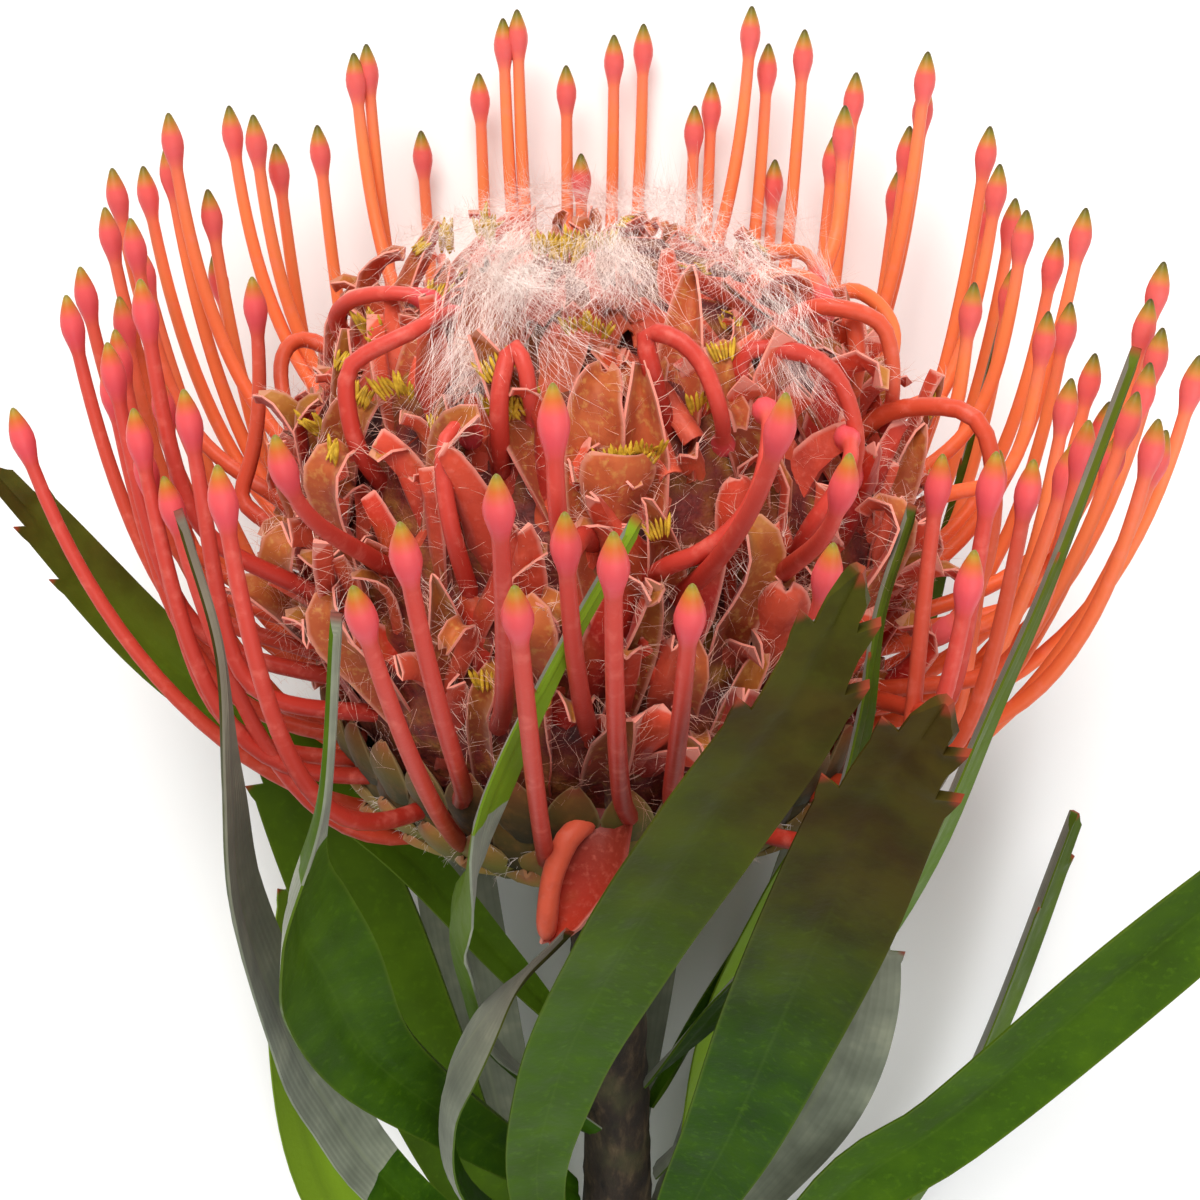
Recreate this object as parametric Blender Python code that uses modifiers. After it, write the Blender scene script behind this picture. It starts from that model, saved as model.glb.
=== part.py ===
"""Pincushion protea: one cut flower, lying on its side as it rests on a table.

Lengths in the design lists are millimetres in the flower's own frame: its origin is the middle
of the flower head's base, X runs across the flower, Z runs up its axis, and -Y is the side that
lies uppermost. Azimuths are degrees about Z from +X, so 270 is the uppermost side and 90 is the
side that the flower rests on. The whole flower hangs on one empty, which lays it down.
"""

import math

import bmesh
import bpy
from mathutils import Matrix, Vector

MM = 0.001

# Driving dimensions, in millimetres.
STEM_LENGTH = 118.0
STEM_RADIUS = 4.0
RECEPTACLE_RADIUS = 7.0
HEAD_RADIUS = 30.0
HEAD_HEIGHT = 57.5
SEAT_GAP = 0.3
STYLE_RADIUS = 0.8
NECK_RADIUS = 0.6
PRESENTER_RADIUS = 1.25
PRESENTER_LENGTH = 5.2
LEAF_THICKNESS = 0.8
LYING_TILT = math.radians(13.5)

# A leaf's blade: how narrow its base is and how much its tip narrows, as shares of its width,
# where along it is widest, and how deep it is cupped, as a share of its half width.
BLADE_BASE = 0.34
BLADE_TIP_LOSS = 0.3
BLADE_WIDEST = 0.72
BLADE_CUP = 0.16
# How far the tip stands forward, from one edge of the blade to the other: its teeth and notches.
TIP_TEETH = (-0.4, -0.8, 2.4, -0.8, -0.4)

# A style's pollen presenter: (share of its length, radius).
PRESENTER_PROFILE = ((0.2, 1.0), (0.42, PRESENTER_RADIUS), (0.72, 0.9), (1.0, 0.25))

# How finely the shapes are divided, and how often a style's tip is pressed onto the table.
STEM_BEVEL_RESOLUTION = 4
STYLE_BEVEL_RESOLUTION = 2
SHAFT_STATIONS = 6
CURVE_SAMPLES = 60
TURNED_STEPS = 30
BLADE_ROWS = 12
BLADE_COLUMNS = len(TIP_TEETH) - 1
PRESSING_ROUNDS = 12

# The stem from its cut end to the receptacle's top: sideways place, height and radius.
STEM_PROFILE = (
    (-1.0, -STEM_LENGTH, STEM_RADIUS),
    (0.3, -100, 4.0),
    (1.4, -80, 3.9),
    (2.0, -60, 4.0),
    (1.8, -44, 4.0),
    (1.1, -28, 4.1),
    (0.3, -14, 4.2),
    (0, -8, 4.4),
    (0, -4.5, 5.4),
    (0, -1.5, 6.6),
    (0, 2, RECEPTACLE_RADIUS),
    (0, 10, 6.6),
    (0, 18, 5.0),
    (0, 23, 2.8),
    (0, 25, 1.0),
)

# (radius, height) down the outer side of the flower head and under it to the receptacle.
HEAD_OUTSIDE = (
    (0, HEAD_HEIGHT),
    (9, 56.4),
    (17.5, 52.8),
    (24.2, 46),
    (28.6, 37),
    (HEAD_RADIUS, 27),
    (29.2, 17),
    (26.8, 10),
    (22.5, 5.2),
    (17, 1.6),
    (12.5, -0.8),
    (7.6, -1.6),
)
# (radius, height) up the hollow of the head, round the receptacle, with a gap all over.
HEAD_INSIDE = (
    (7.6, 2.4),
    (7.1, 10.4),
    (5.6, 18.6),
    (3.4, 24),
    (0, 26),
)
# The cup of bracts under the head, from its rim down its outer side and back up its inner side.
INVOLUCRE_PROFILE = (
    (16, 0.6),
    (16.5, 0),
    (14, -2.8),
    (10, -5.6),
    (6, -8.4),
    (4.85, -8.4),
    (5.4, -5.8),
    (6.3, -3.5),
    (6.9, -2.3),
    (8, -1.95),
    (12.6, -1.2),
)

# Each free style: tip azimuth, tip radius, tip height, ring of florets, turn from tip to root.
STYLES = (
    (189, 52, 42, 0, 12),
    (180, 48, 50, 1, 8),
    (172, 49, 51, 2, 4),
    (163, 50, 55, 1, 4),
    (154, 47, 63, 3, 4),
    (143, 44, 62, 3, -6),
    (126, 44, 67, 4, 4),
    (115, 49, 58, 1, 4),
    (144, 51, 47, 0, 4),
    (202, 40, 55, 3, 6),
    (234, 46, 47, 1, -2),
    (235, 41, 48, 9, -4),
    (255, 50, 47, 7, -8),
    (252, 52, 43, 6, -12),
    (264, 52, 44, 6, -5),
    (262, 48, 50, 8, -7),
    (266, 44, 55, 4, 2),
    (277, 49.5, 43, 7, 5),
    (286, 44.5, 54, 9, -2),
    (291, 45, 43, 8, 8),
    (295, 41.5, 48, 9, 5),
    (306, 46, 40.5, 1, -8),
    (313, 43, 46, 2, 12),
    (347, 50, 41, 0, -4),
    (354, 53, 46, 1, -4),
    (5, 52, 52, 1, -2),
    (11, 51, 37, 0, -4),
    (8, 35, 50, 4, -2),
    (17, 49, 55, 2, -4),
    (33, 47, 61, 2, -2),
    (40, 43, 68, 3, 4),
    (38, 30, 64, 5, -6),
    (48, 50, 58, 1, -4),
    (61, 45, 69, 3, -4),
    (65, 49, 55, 1, -2),
    (84, 46, 69, 3, 3),
    (93, 47, 56, 1, 4),
    (107, 47, 64, 2, 4),
)

# For each ring of florets: root height, how far the root stands off the head,
# then the first and second pull of the bend, as (radius, height) and as an offset from the tip.
FLORET_RINGS = (
    (1.9, (0.0, -1.3), (30, -1.5), (-4, -28)),
    (9, (0.8, -0.2), (38, 11), (-2, -28)),
    (18, (0.6, 0), (40, 21), (-2, -26)),
    (28, (0.6, 0), (38, 33), (-1, -24)),
    (38, (0.6, 0.1), (35, 42), (-1, -20)),
    (47, (0.7, 0.3), (30, 51), (0, -10)),
    (6.7, (0.9, -0.8), (31, 11), (-5, -14)),
    (14.5, (1.0, -0.3), (33.5, 18), (-3, -13)),
    (23, (0.9, -0.1), (36, 28), (-2, -9)),
    (34, (0.7, 0.1), (36, 39), (-1, -7)),
)

# Each leaf: blade width, azimuth and height of its base on the stem, then points up its midrib
# as (x, y, z, roll). Roll turns the blade about its midrib, in degrees, from facing straight up
# as the flower lies.
LEAVES = (
    (7.5, 180, -32, ((-10, -1, -22, 40), (-21, 0, -8, 50), (-36, 4, 4, 50), (-47, 8, 12, 50),
                    (-61, 12, 28, 50))),
    (9, 197, -72, ((-21, -10, -46, 50), (-28, -15, -28, 65), (-30, -22, -12, 80),
                   (-31, -28, 4, 90), (-30, -31, 18, 80), (-30, -30, 29, 70),
                   (-33, -25, 37, 70))),
    (11, 190, -54, ((-13, -7, -40, 22), (-22, -17, -22, 30), (-24, -28, -4, 45),
                    (-24, -38, 10, 80), (-20, -44, 24, 95), (-18, -46, 38, 80))),
    (12, 165, -76, ((-14, 2, -56, 20), (-21, 3, -36, 15), (-27, 5, -18, 15), (-34, 8, 0, 15))),
    (9, 235, -42, ((-11, -8, -28, 100), (-13, -15, -14, 105), (-13, -22, -3, 105),
                   (-11, -29, 6, 95), (-9, -34, 17, 70), (-4, -37, 30, 55), (2, -38, 42, 55))),
    (8, 218, -62, ((-14, -12, -44, 100), (-15, -18, -26, 100), (-9, -25, -9, 105),
                   (-3, -31.5, 3, 100))),
    (9, 250, -74, ((-6.5, -12, -45, 8), (-4, -24.5, -18, 12), (2, -36, 5, 14),
                   (7.5, -44, 21, 15), (12.5, -50, 34, 15), (15.5, -53, 44, 15))),
    (11, 300, -78, ((9, -10, -50, -10), (13, -18, -30, -10), (16, -26, -11, -8),
                    (18.5, -34, 6, -5), (21, -41, 22, -5), (23.5, -45, 31, -5))),
    (7, 325, -36, ((11, -10, -22, 40), (17, -17.5, -6, 55), (20.5, -23.5, 10, 60),
                   (22, -24.5, 20, 60), (23, -23, 29, 60), (25.5, -19.5, 36, 60))),
    (8, 345, -50, ((14, -10, -32, 50), (23, -20, -10, 60), (28, -25, 6, 62), (32, -27, 22, 62),
                   (36, -26, 34, 62), (42, -20, 49, 60))),
    (10, 0, -72, ((16, -3, -52, 150), (23, -6, -36, 150), (25.5, -9, -22, 150),
                  (26, -11, -10, 150))),
    (9, 30, -98, ((24, 5, -78, 55), (37, 7, -62, 60), (45, 10, -42, 60), (53, 14, -14, 60))),
    (12, 340, -88, ((25, -8, -49, 20), (37, -10, -35, 20), (52, -13, -14, 20),
                    (67, -14, 4, 20))),
    (10, 150, -104, ((-20, 6, -86, 55), (-33, 9, -62, 55), (-36, 12, -40, 55), (-34, 15, -18, 55))),
    (4, 35, -44, ((15, 6, -26, 40), (27, 11, -8, 30), (34, 15, 8, 25), (37.5, 17.5, 24, 20),
                  (41, 20, 41, 20))),
    (10, 15, -58, ((13, 3, -36, 40), (20, 3, -16, 40), (27, 1, 0, 40))),
    (10, 110, -84, ((-10, 9, -58, 165), (-16, 15, -30, 165), (-19, 23, -6, 165))),
    (10, 60, -92, ((12, 8, -68, 190), (20, 13, -42, 190), (27, 20, -14, 190))),
    (10, 85, -64, ((3, 9, -46, 180), (5, 16, -24, 180), (6, 22, -7, 180))),
)

MATERIALS = {
    "bark": ((0.045, 0.030, 0.018), 0.8),
    "floret": ((0.42, 0.05, 0.03), 0.6),
    "bract": ((0.30, 0.30, 0.09), 0.75),
    "style": ((0.80, 0.09, 0.04), 0.45),
    "leaf": ((0.05, 0.12, 0.015), 0.5),
}


def clear_scene():
    for obj in list(bpy.data.objects):
        bpy.data.objects.remove(obj, do_unlink=True)


def new_collection(name):
    collection = bpy.data.collections.new(name)
    bpy.context.scene.collection.children.link(collection)
    return collection


def new_material(name, kind):
    colour, roughness = MATERIALS[kind]
    material = bpy.data.materials.new(name)
    material.use_nodes = True
    shader = material.node_tree.nodes["Principled BSDF"]
    shader.inputs["Base Color"].default_value = (*colour, 1.0)
    shader.inputs["Roughness"].default_value = roughness
    shader.inputs["Metallic"].default_value = 0.0
    material.diffuse_color = (*colour, 1.0)
    return material


def add_object(name, data, kind, flower, collection):
    obj = bpy.data.objects.new(name, data)
    data.materials.append(new_material(name, kind))
    obj.parent = flower
    collection.objects.link(obj)
    return obj


def lying_empty(collection):
    """The empty that lays the flower down: its axis rises from the cut end towards the head."""
    flower = bpy.data.objects.new("flower_axis", None)
    flower.rotation_euler = (LYING_TILT - math.pi / 2, 0, 0)
    collection.objects.link(flower)
    return flower


def height_over_table(point):
    """How high a point of the flower's frame lies over the table that the stem's cut end touches."""
    end = Vector((0, STEM_RADIUS, -STEM_LENGTH))
    return (end.y - point.y) * math.cos(LYING_TILT) + (point.z - end.z) * math.sin(LYING_TILT)


def round_curve(name, points, radii, bevel_resolution):
    """A tube through the points, with its own radius at each."""
    curve = bpy.data.curves.new(name, "CURVE")
    curve.dimensions = "3D"
    curve.bevel_depth = radii[0] * MM
    curve.bevel_resolution = bevel_resolution
    curve.use_fill_caps = True
    spline = curve.splines.new("POLY")
    spline.points.add(len(points) - 1)
    for spline_point, point, radius in zip(spline.points, points, radii):
        spline_point.co = (*(Vector(point) * MM), 1)
        spline_point.radius = radius / radii[0]
    return curve


def make_stem(flower, collection):
    points = [(sideways, 0, height) for sideways, height, _ in STEM_PROFILE]
    radii = [radius for _, _, radius in STEM_PROFILE]
    curve = round_curve("stem", points, radii, STEM_BEVEL_RESOLUTION)
    add_object("stem", curve, "bark", flower, collection)


def make_turned(name, profile, kind, flower, collection, closed):
    """A solid turned about the flower's axis from its outline."""
    mesh = bpy.data.meshes.new(name)
    shape = bmesh.new()
    points = [shape.verts.new((radius * MM, 0, height * MM)) for radius, height in profile]
    for lower, upper in zip(points, points[1:]):
        shape.edges.new((lower, upper))
    if closed:
        shape.edges.new((points[-1], points[0]))
    shape.to_mesh(mesh)
    shape.free()
    turned = add_object(name, mesh, kind, flower, collection)
    screw = turned.modifiers.new("turn", "SCREW")
    screw.steps = TURNED_STEPS
    screw.render_steps = TURNED_STEPS
    screw.use_merge_vertices = True
    screw.merge_threshold = 0.0001


def bezier(first, second, third, fourth, t):
    s = 1 - t
    return s**3 * first + 3 * s * s * t * second + 3 * s * t * t * third + t**3 * fourth


def between(rows, place, column):
    """A column's value where the first column, which rises, reaches a place."""
    for low, high in zip(rows, rows[1:]):
        if place <= high[0]:
            share = (place - low[0]) / (high[0] - low[0])
            return low[column] + (high[column] - low[column]) * share
    return rows[-1][column]


def head_radius_at(height):
    """The radius of the flower head's outer side at a height."""
    rising = [(h, r) for r, h in reversed(HEAD_OUTSIDE)]
    return between(rising, height, 1)


def style_bend(azimuth, radius, height, ring, turn):
    """Points along one style, from its root on the head to its tip."""
    root_height, stand_off, pull, tip_pull = FLORET_RINGS[ring]
    root = Vector((head_radius_at(root_height), root_height)) + Vector(stand_off)
    tip = Vector((radius, height))
    first_pull = Vector(pull)
    last_pull = tip + Vector(tip_pull)
    points = []
    for step in range(CURVE_SAMPLES + 1):
        t = step / CURVE_SAMPLES
        across, up = bezier(root, first_pull, last_pull, tip, t)
        angle = math.radians(azimuth + turn * (1 - t) ** 2)
        points.append(Vector((across * math.cos(angle), across * math.sin(angle), up)))
    return points


def along(points, distance):
    """The point at a distance along a chain of points."""
    for start, end in zip(points, points[1:]):
        step = (end - start).length
        if distance <= step:
            return start.lerp(end, distance / step)
        distance -= step
    return points[-1]


def style_stations(points):
    """Where the tube of a style has its rings, and how thick it is there: shaft, neck, presenter."""
    length = sum((b - a).length for a, b in zip(points, points[1:]))
    neck = length - PRESENTER_LENGTH
    places = [neck * i / (SHAFT_STATIONS - 1) for i in range(SHAFT_STATIONS)]
    radii = [
        STYLE_RADIUS + (NECK_RADIUS - STYLE_RADIUS) * i / (SHAFT_STATIONS - 1)
        for i in range(SHAFT_STATIONS)
    ]
    for share, radius in PRESENTER_PROFILE:
        places.append(neck + share * PRESENTER_LENGTH)
        radii.append(radius)
    return [along(points, place) for place in places], radii


def rested_style(azimuth, radius, height, ring, turn):
    """A style's rings, with its tip pressed inwards where it would reach below the table."""
    for _ in range(PRESSING_ROUNDS):
        points, radii = style_stations(style_bend(azimuth, radius, height, ring, turn))
        sunk = max(r - height_over_table(p) for p, r in zip(points, radii))
        if sunk <= 0:
            break
        radius -= sunk / math.sin(math.radians(azimuth)) / math.cos(LYING_TILT)
    return points, radii


def make_styles(flower, collection):
    for number, style in enumerate(STYLES, 1):
        points, radii = rested_style(*style)
        name = f"style_{number:02d}"
        curve = round_curve(name, points, radii, STYLE_BEVEL_RESOLUTION)
        add_object(name, curve, "style", flower, collection)


def catmull_rom(values, t):
    """A smooth value between the given ones, for t from 0 at the first to 1 at the last."""
    place = t * (len(values) - 1)
    index = min(int(place), len(values) - 2)
    f = place - index
    b = values[index]
    c = values[index + 1]
    a = values[index - 1] if index > 0 else b * 2 - c
    d = values[index + 2] if index + 2 < len(values) else c * 2 - b
    return 0.5 * (2 * b + (c - a) * f + (2 * a - 5 * b + 4 * c - d) * f * f
                  + (3 * b - a - 3 * c + d) * f**3)


def facing_up(tangent):
    """The direction out of a blade that faces as straight up as its midrib lets it."""
    upward = Vector((0, -math.cos(LYING_TILT), math.sin(LYING_TILT)))
    return (upward - tangent * upward.dot(tangent)).normalized()


def whole_midrib(azimuth, height, points):
    """The midrib's points and rolls, with the base added where it sits flat against the stem."""
    rows = [(h, x, r) for x, h, r in STEM_PROFILE]
    outward = Vector((math.cos(math.radians(azimuth)), math.sin(math.radians(azimuth)), 0))
    off_axis = between(rows, height, 2) + SEAT_GAP + LEAF_THICKNESS / 2
    base = Vector((between(rows, height, 1), 0, height)) + outward * off_axis
    places = [base] + [Vector(p[:3]) for p in points]
    tangent = (places[1] - places[0]).normalized()
    level = facing_up(tangent)
    against = (outward - tangent * outward.dot(tangent)).normalized()
    roll = math.degrees(math.atan2(tangent.dot(level.cross(against)), level.dot(against)))
    roll += 180 * round((points[0][3] - roll) / 180)
    return places, [roll] + [float(p[3]) for p in points]


def blade_frame(places, rolls, t):
    """The midrib's point at t, the directions across and out of the blade, and its run."""
    point = catmull_rom(places, t)
    tangent = catmull_rom(places, min(t + 0.01, 1.0)) - catmull_rom(places, max(t - 0.01, 0.0))
    tangent.normalize()
    turn = Matrix.Rotation(math.radians(catmull_rom(rolls, t)), 3, tangent)
    normal = turn @ facing_up(tangent)
    return point, tangent.cross(normal), normal, tangent


def blade_half_width(width, t):
    """Half the blade's width at t: narrow at the base, widest past the middle, blunt at the tip."""
    swell = math.sin(math.pi * min(t / BLADE_WIDEST, 1.0) / 2) ** 1.2
    taper = 1 - BLADE_TIP_LOSS * max(0.0, (t - BLADE_WIDEST) / (1 - BLADE_WIDEST)) ** 2
    return width / 2 * (BLADE_BASE + (1 - BLADE_BASE) * swell) * taper


def make_leaf(name, leaf, flower, collection):
    """A blade laid along its midrib, cupped a little across, with teeth at the tip."""
    width, azimuth, height, points = leaf
    places, rolls = whole_midrib(azimuth, height, points)
    shape = bmesh.new()
    bmesh.ops.create_grid(shape, x_segments=BLADE_COLUMNS, y_segments=BLADE_ROWS, size=1)
    for vertex in shape.verts:
        u = vertex.co.x
        t = (vertex.co.y + 1) / 2
        point, across, normal, tangent = blade_frame(places, rolls, t)
        half = blade_half_width(width, t)
        place = point + across * (u * half) + normal * (BLADE_CUP * half * u * u)
        if t > 0.999:
            place += tangent * TIP_TEETH[round((u + 1) / 2 * BLADE_COLUMNS)]
        vertex.co = place * MM
    mesh = bpy.data.meshes.new(name)
    shape.to_mesh(mesh)
    shape.free()
    blade = add_object(name, mesh, "leaf", flower, collection)
    solidify = blade.modifiers.new("thickness", "SOLIDIFY")
    solidify.thickness = LEAF_THICKNESS * MM
    solidify.offset = 0


def make_leaves(flower, collection):
    for number, leaf in enumerate(LEAVES, 1):
        make_leaf(f"leaf_{number:02d}", leaf, flower, collection)


def stand_over_origin(flower, collection):
    """Moves the whole flower so that its box stands on z = 0, centred over the origin."""
    bpy.context.view_layer.update()
    graph = bpy.context.evaluated_depsgraph_get()
    lowest = Vector((math.inf,) * 3)
    highest = Vector((-math.inf,) * 3)
    for obj in collection.objects:
        if obj.type == "EMPTY":
            continue
        shape = obj.evaluated_get(graph)
        mesh = shape.to_mesh()
        for vertex in mesh.vertices:
            place = shape.matrix_world @ vertex.co
            lowest = Vector(map(min, lowest, place))
            highest = Vector(map(max, highest, place))
        shape.to_mesh_clear()
    middle = (lowest + highest) / 2
    flower.location -= Vector((middle.x, middle.y, lowest.z))
    bpy.context.view_layer.update()


def main():
    clear_scene()
    collection = new_collection("pincushion_protea")
    flower = lying_empty(collection)
    make_stem(flower, collection)
    head = HEAD_OUTSIDE + HEAD_INSIDE
    make_turned("floret_head", head, "floret", flower, collection, closed=False)
    make_turned("involucre", INVOLUCRE_PROFILE, "bract", flower, collection, closed=True)
    make_styles(flower, collection)
    make_leaves(flower, collection)
    stand_over_origin(flower, collection)


main()
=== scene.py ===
"""Looks of the cut pincushion protea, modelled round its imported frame.

Design lists are in millimetres in the flower's own frame: its origin is the middle of the flower
head's base, X runs across the flower, Z runs up its axis, and -Y is the side that lies uppermost.
Azimuths are degrees about Z from +X, so 270 is the uppermost side and 90 is the side that the
flower rests on.
"""

import math
import random

import bmesh
import bpy
from mathutils import Matrix, Vector


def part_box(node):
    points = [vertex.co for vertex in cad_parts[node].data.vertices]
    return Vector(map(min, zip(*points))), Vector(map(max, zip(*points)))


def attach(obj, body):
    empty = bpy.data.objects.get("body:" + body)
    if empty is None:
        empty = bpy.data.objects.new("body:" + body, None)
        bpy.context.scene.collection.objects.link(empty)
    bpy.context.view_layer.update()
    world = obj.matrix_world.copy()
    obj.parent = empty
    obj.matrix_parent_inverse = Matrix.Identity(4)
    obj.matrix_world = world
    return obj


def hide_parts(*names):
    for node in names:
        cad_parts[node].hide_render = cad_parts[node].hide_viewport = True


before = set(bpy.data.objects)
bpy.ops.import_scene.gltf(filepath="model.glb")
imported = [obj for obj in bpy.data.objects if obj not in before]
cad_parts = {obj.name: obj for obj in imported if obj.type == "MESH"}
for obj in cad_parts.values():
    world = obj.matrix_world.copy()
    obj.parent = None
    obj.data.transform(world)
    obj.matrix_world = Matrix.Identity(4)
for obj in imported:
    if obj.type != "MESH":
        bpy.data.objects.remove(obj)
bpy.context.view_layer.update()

MM = 0.001
# Vertices closer than this, in millimetres, to a place that is looked for are taken to be there.
NEAR = 0.01
GOLDEN_ANGLE = math.radians(137.508)

# The flower's own measures, as its frame was built.
LYING_TILT = math.radians(13.5)
STEM_LENGTH = 118.0
STEM_RADIUS = 4.0
SEAT_GAP = 0.3
LEAF_THICKNESS = 0.8
BLADE_BASE = 0.34
BLADE_TIP_LOSS = 0.3
BLADE_WIDEST = 0.72
BLADE_CUP = 0.16

# The stem from its cut end to the receptacle's top: sideways place, height and radius.
STEM_PROFILE = (
    (-1.0, -STEM_LENGTH, STEM_RADIUS),
    (0.3, -100, 4.0),
    (1.4, -80, 3.9),
    (2.0, -60, 4.0),
    (1.8, -44, 4.0),
    (1.1, -28, 4.1),
    (0.3, -14, 4.2),
    (0, -8, 4.4),
    (0, -4.5, 5.4),
    (0, -1.5, 6.6),
)

# (radius, height) up the outside of the flower head, from its underside to its crown.
HEAD_OUTSIDE = (
    (12.5, -0.8), (17, 1.6), (22.5, 5.2), (26.8, 10),
    (29.2, 17), (30, 27), (28.6, 37), (24.2, 46),
    (17.5, 52.8), (9, 56.4), (0, 57.5),
)

# Each free style of the frame: tip azimuth, tip radius, tip height, ring of florets, turn from
# tip to root.
STYLES = (
    (189, 52, 42, 0, 12), (180, 48, 50, 1, 8), (172, 49, 51, 2, 4), (163, 50, 55, 1, 4),
    (154, 47, 63, 3, 4), (143, 44, 62, 3, -6), (126, 44, 67, 4, 4), (115, 49, 58, 1, 4),
    (144, 51, 47, 0, 4), (202, 40, 55, 3, 6), (234, 46, 47, 1, -2), (235, 41, 48, 9, -4),
    (255, 50, 47, 7, -8), (252, 52, 43, 6, -12), (264, 52, 44, 6, -5), (262, 48, 50, 8, -7),
    (266, 44, 55, 4, 2), (277, 49.5, 43, 7, 5), (286, 44.5, 54, 9, -2), (291, 45, 43, 8, 8),
    (295, 41.5, 48, 9, 5), (306, 46, 40.5, 1, -8), (313, 43, 46, 2, 12), (347, 50, 41, 0, -4),
    (354, 53, 46, 1, -4), (5, 52, 52, 1, -2), (11, 51, 37, 0, -4), (8, 35, 50, 4, -2),
    (17, 49, 55, 2, -4), (33, 47, 61, 2, -2), (40, 43, 68, 3, 4), (38, 30, 64, 5, -6),
    (48, 50, 58, 1, -4), (61, 45, 69, 3, -4), (65, 49, 55, 1, -2), (84, 46, 69, 3, 3),
    (93, 47, 56, 1, 4), (107, 47, 64, 2, 4),
)

# The free styles between those of the frame, given in the same way.
MORE_STYLES = (
    (158, 51.8, 57.9, 1, 3), (152, 52.5, 57.2, 2, 3), (151, 50.0, 59.2, 2, 3),
    (143, 47.5, 62.6, 3, -2), (124, 44.0, 67.8, 3, 2), (104, 43.2, 69.9, 4, 2),
    (102, 42.9, 70.8, 4, 2), (95, 44.1, 65.0, 2, 2), (88, 44.0, 68.0, 3, 2),
    (76, 47.3, 60.8, 1, -2), (74, 45.8, 63.1, 2, -2), (68, 43.1, 71.3, 4, 6),
    (66.5, 45.8, 67.3, 3, -2), (53, 45.0, 65.0, 2, -2), (48, 48.2, 54.8, 1, -2),
    (43, 46, 64.5, 3, -2), (36, 51, 53.5, 0, -3), (30, 49.0, 54.0, 1, -3),
    (0, 51, 47, 1, -3), (350, 47.5, 43.5, 0, -3), (351, 46.7, 39.6, 0, -4),
    (338, 36.6, 40.0, 1, -5), (321, 35.2, 42.6, 1, -3), (271, 50, 47, 7, 3),
    (267, 45.0, 46.4, 8, 1), (208, 40.6, 39.6, 0, 6), (197, 41.2, 40.3, 1, 8),
    (172, 47.2, 42.5, 0, 4), (178, 31.4, 51.4, 3, 5), (343, 49, 43, 1, -3),
    (357, 49.5, 44.5, 2, -3), (3, 50.5, 49, 2, -2), (9, 48, 42.5, 1, -3),
    (14, 47, 46.5, 1, -3), (21, 48.5, 51.5, 2, -3), (25, 46, 48, 1, -3),
    (28, 45, 58, 3, -2), (334, 44, 44.5, 2, -4), (328, 41, 42, 1, -4),
    (342, 42.5, 40.5, 0, -4), (352, 42, 44, 2, -2), (8, 42.5, 47, 3, -2),
    (18, 43, 55, 3, -2), (45, 46, 60, 2, -2), (57, 47, 58, 1, -2),
    (186, 44, 45, 1, 8), (194, 43, 48.5, 2, 8), (176, 45, 46, 2, 5),
    (166, 48, 47, 1, 4), (168, 45, 55, 3, 4), (160, 48.5, 51, 0, 4),
    (183, 40, 43, 2, 8), (205, 42, 45, 1, 8), (212, 39, 47.5, 2, 8),
    (149, 46.5, 55, 1, 3), (138, 45.5, 58.5, 2, 2), (132, 44.5, 60, 2, 0),
)

# For each ring of florets: root height, how far the root stands off the head, then the first and
# second pull of the bend, as (radius, height) and as an offset from the tip.
FLORET_RINGS = (
    (1.9, (0.0, -1.3), (30, -1.5), (-4, -28)), (9, (0.8, -0.2), (38, 11), (-2, -28)),
    (18, (0.6, 0), (40, 21), (-2, -26)), (28, (0.6, 0), (38, 33), (-1, -24)),
    (38, (0.6, 0.1), (35, 42), (-1, -20)), (47, (0.7, 0.3), (30, 51), (0, -10)),
    (6.7, (0.9, -0.8), (31, 11), (-5, -14)), (14.5, (1.0, -0.3), (33.5, 18), (-3, -13)),
    (23, (0.9, -0.1), (36, 28), (-2, -9)), (34, (0.7, 0.1), (36, 39), (-1, -7)),
)

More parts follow.
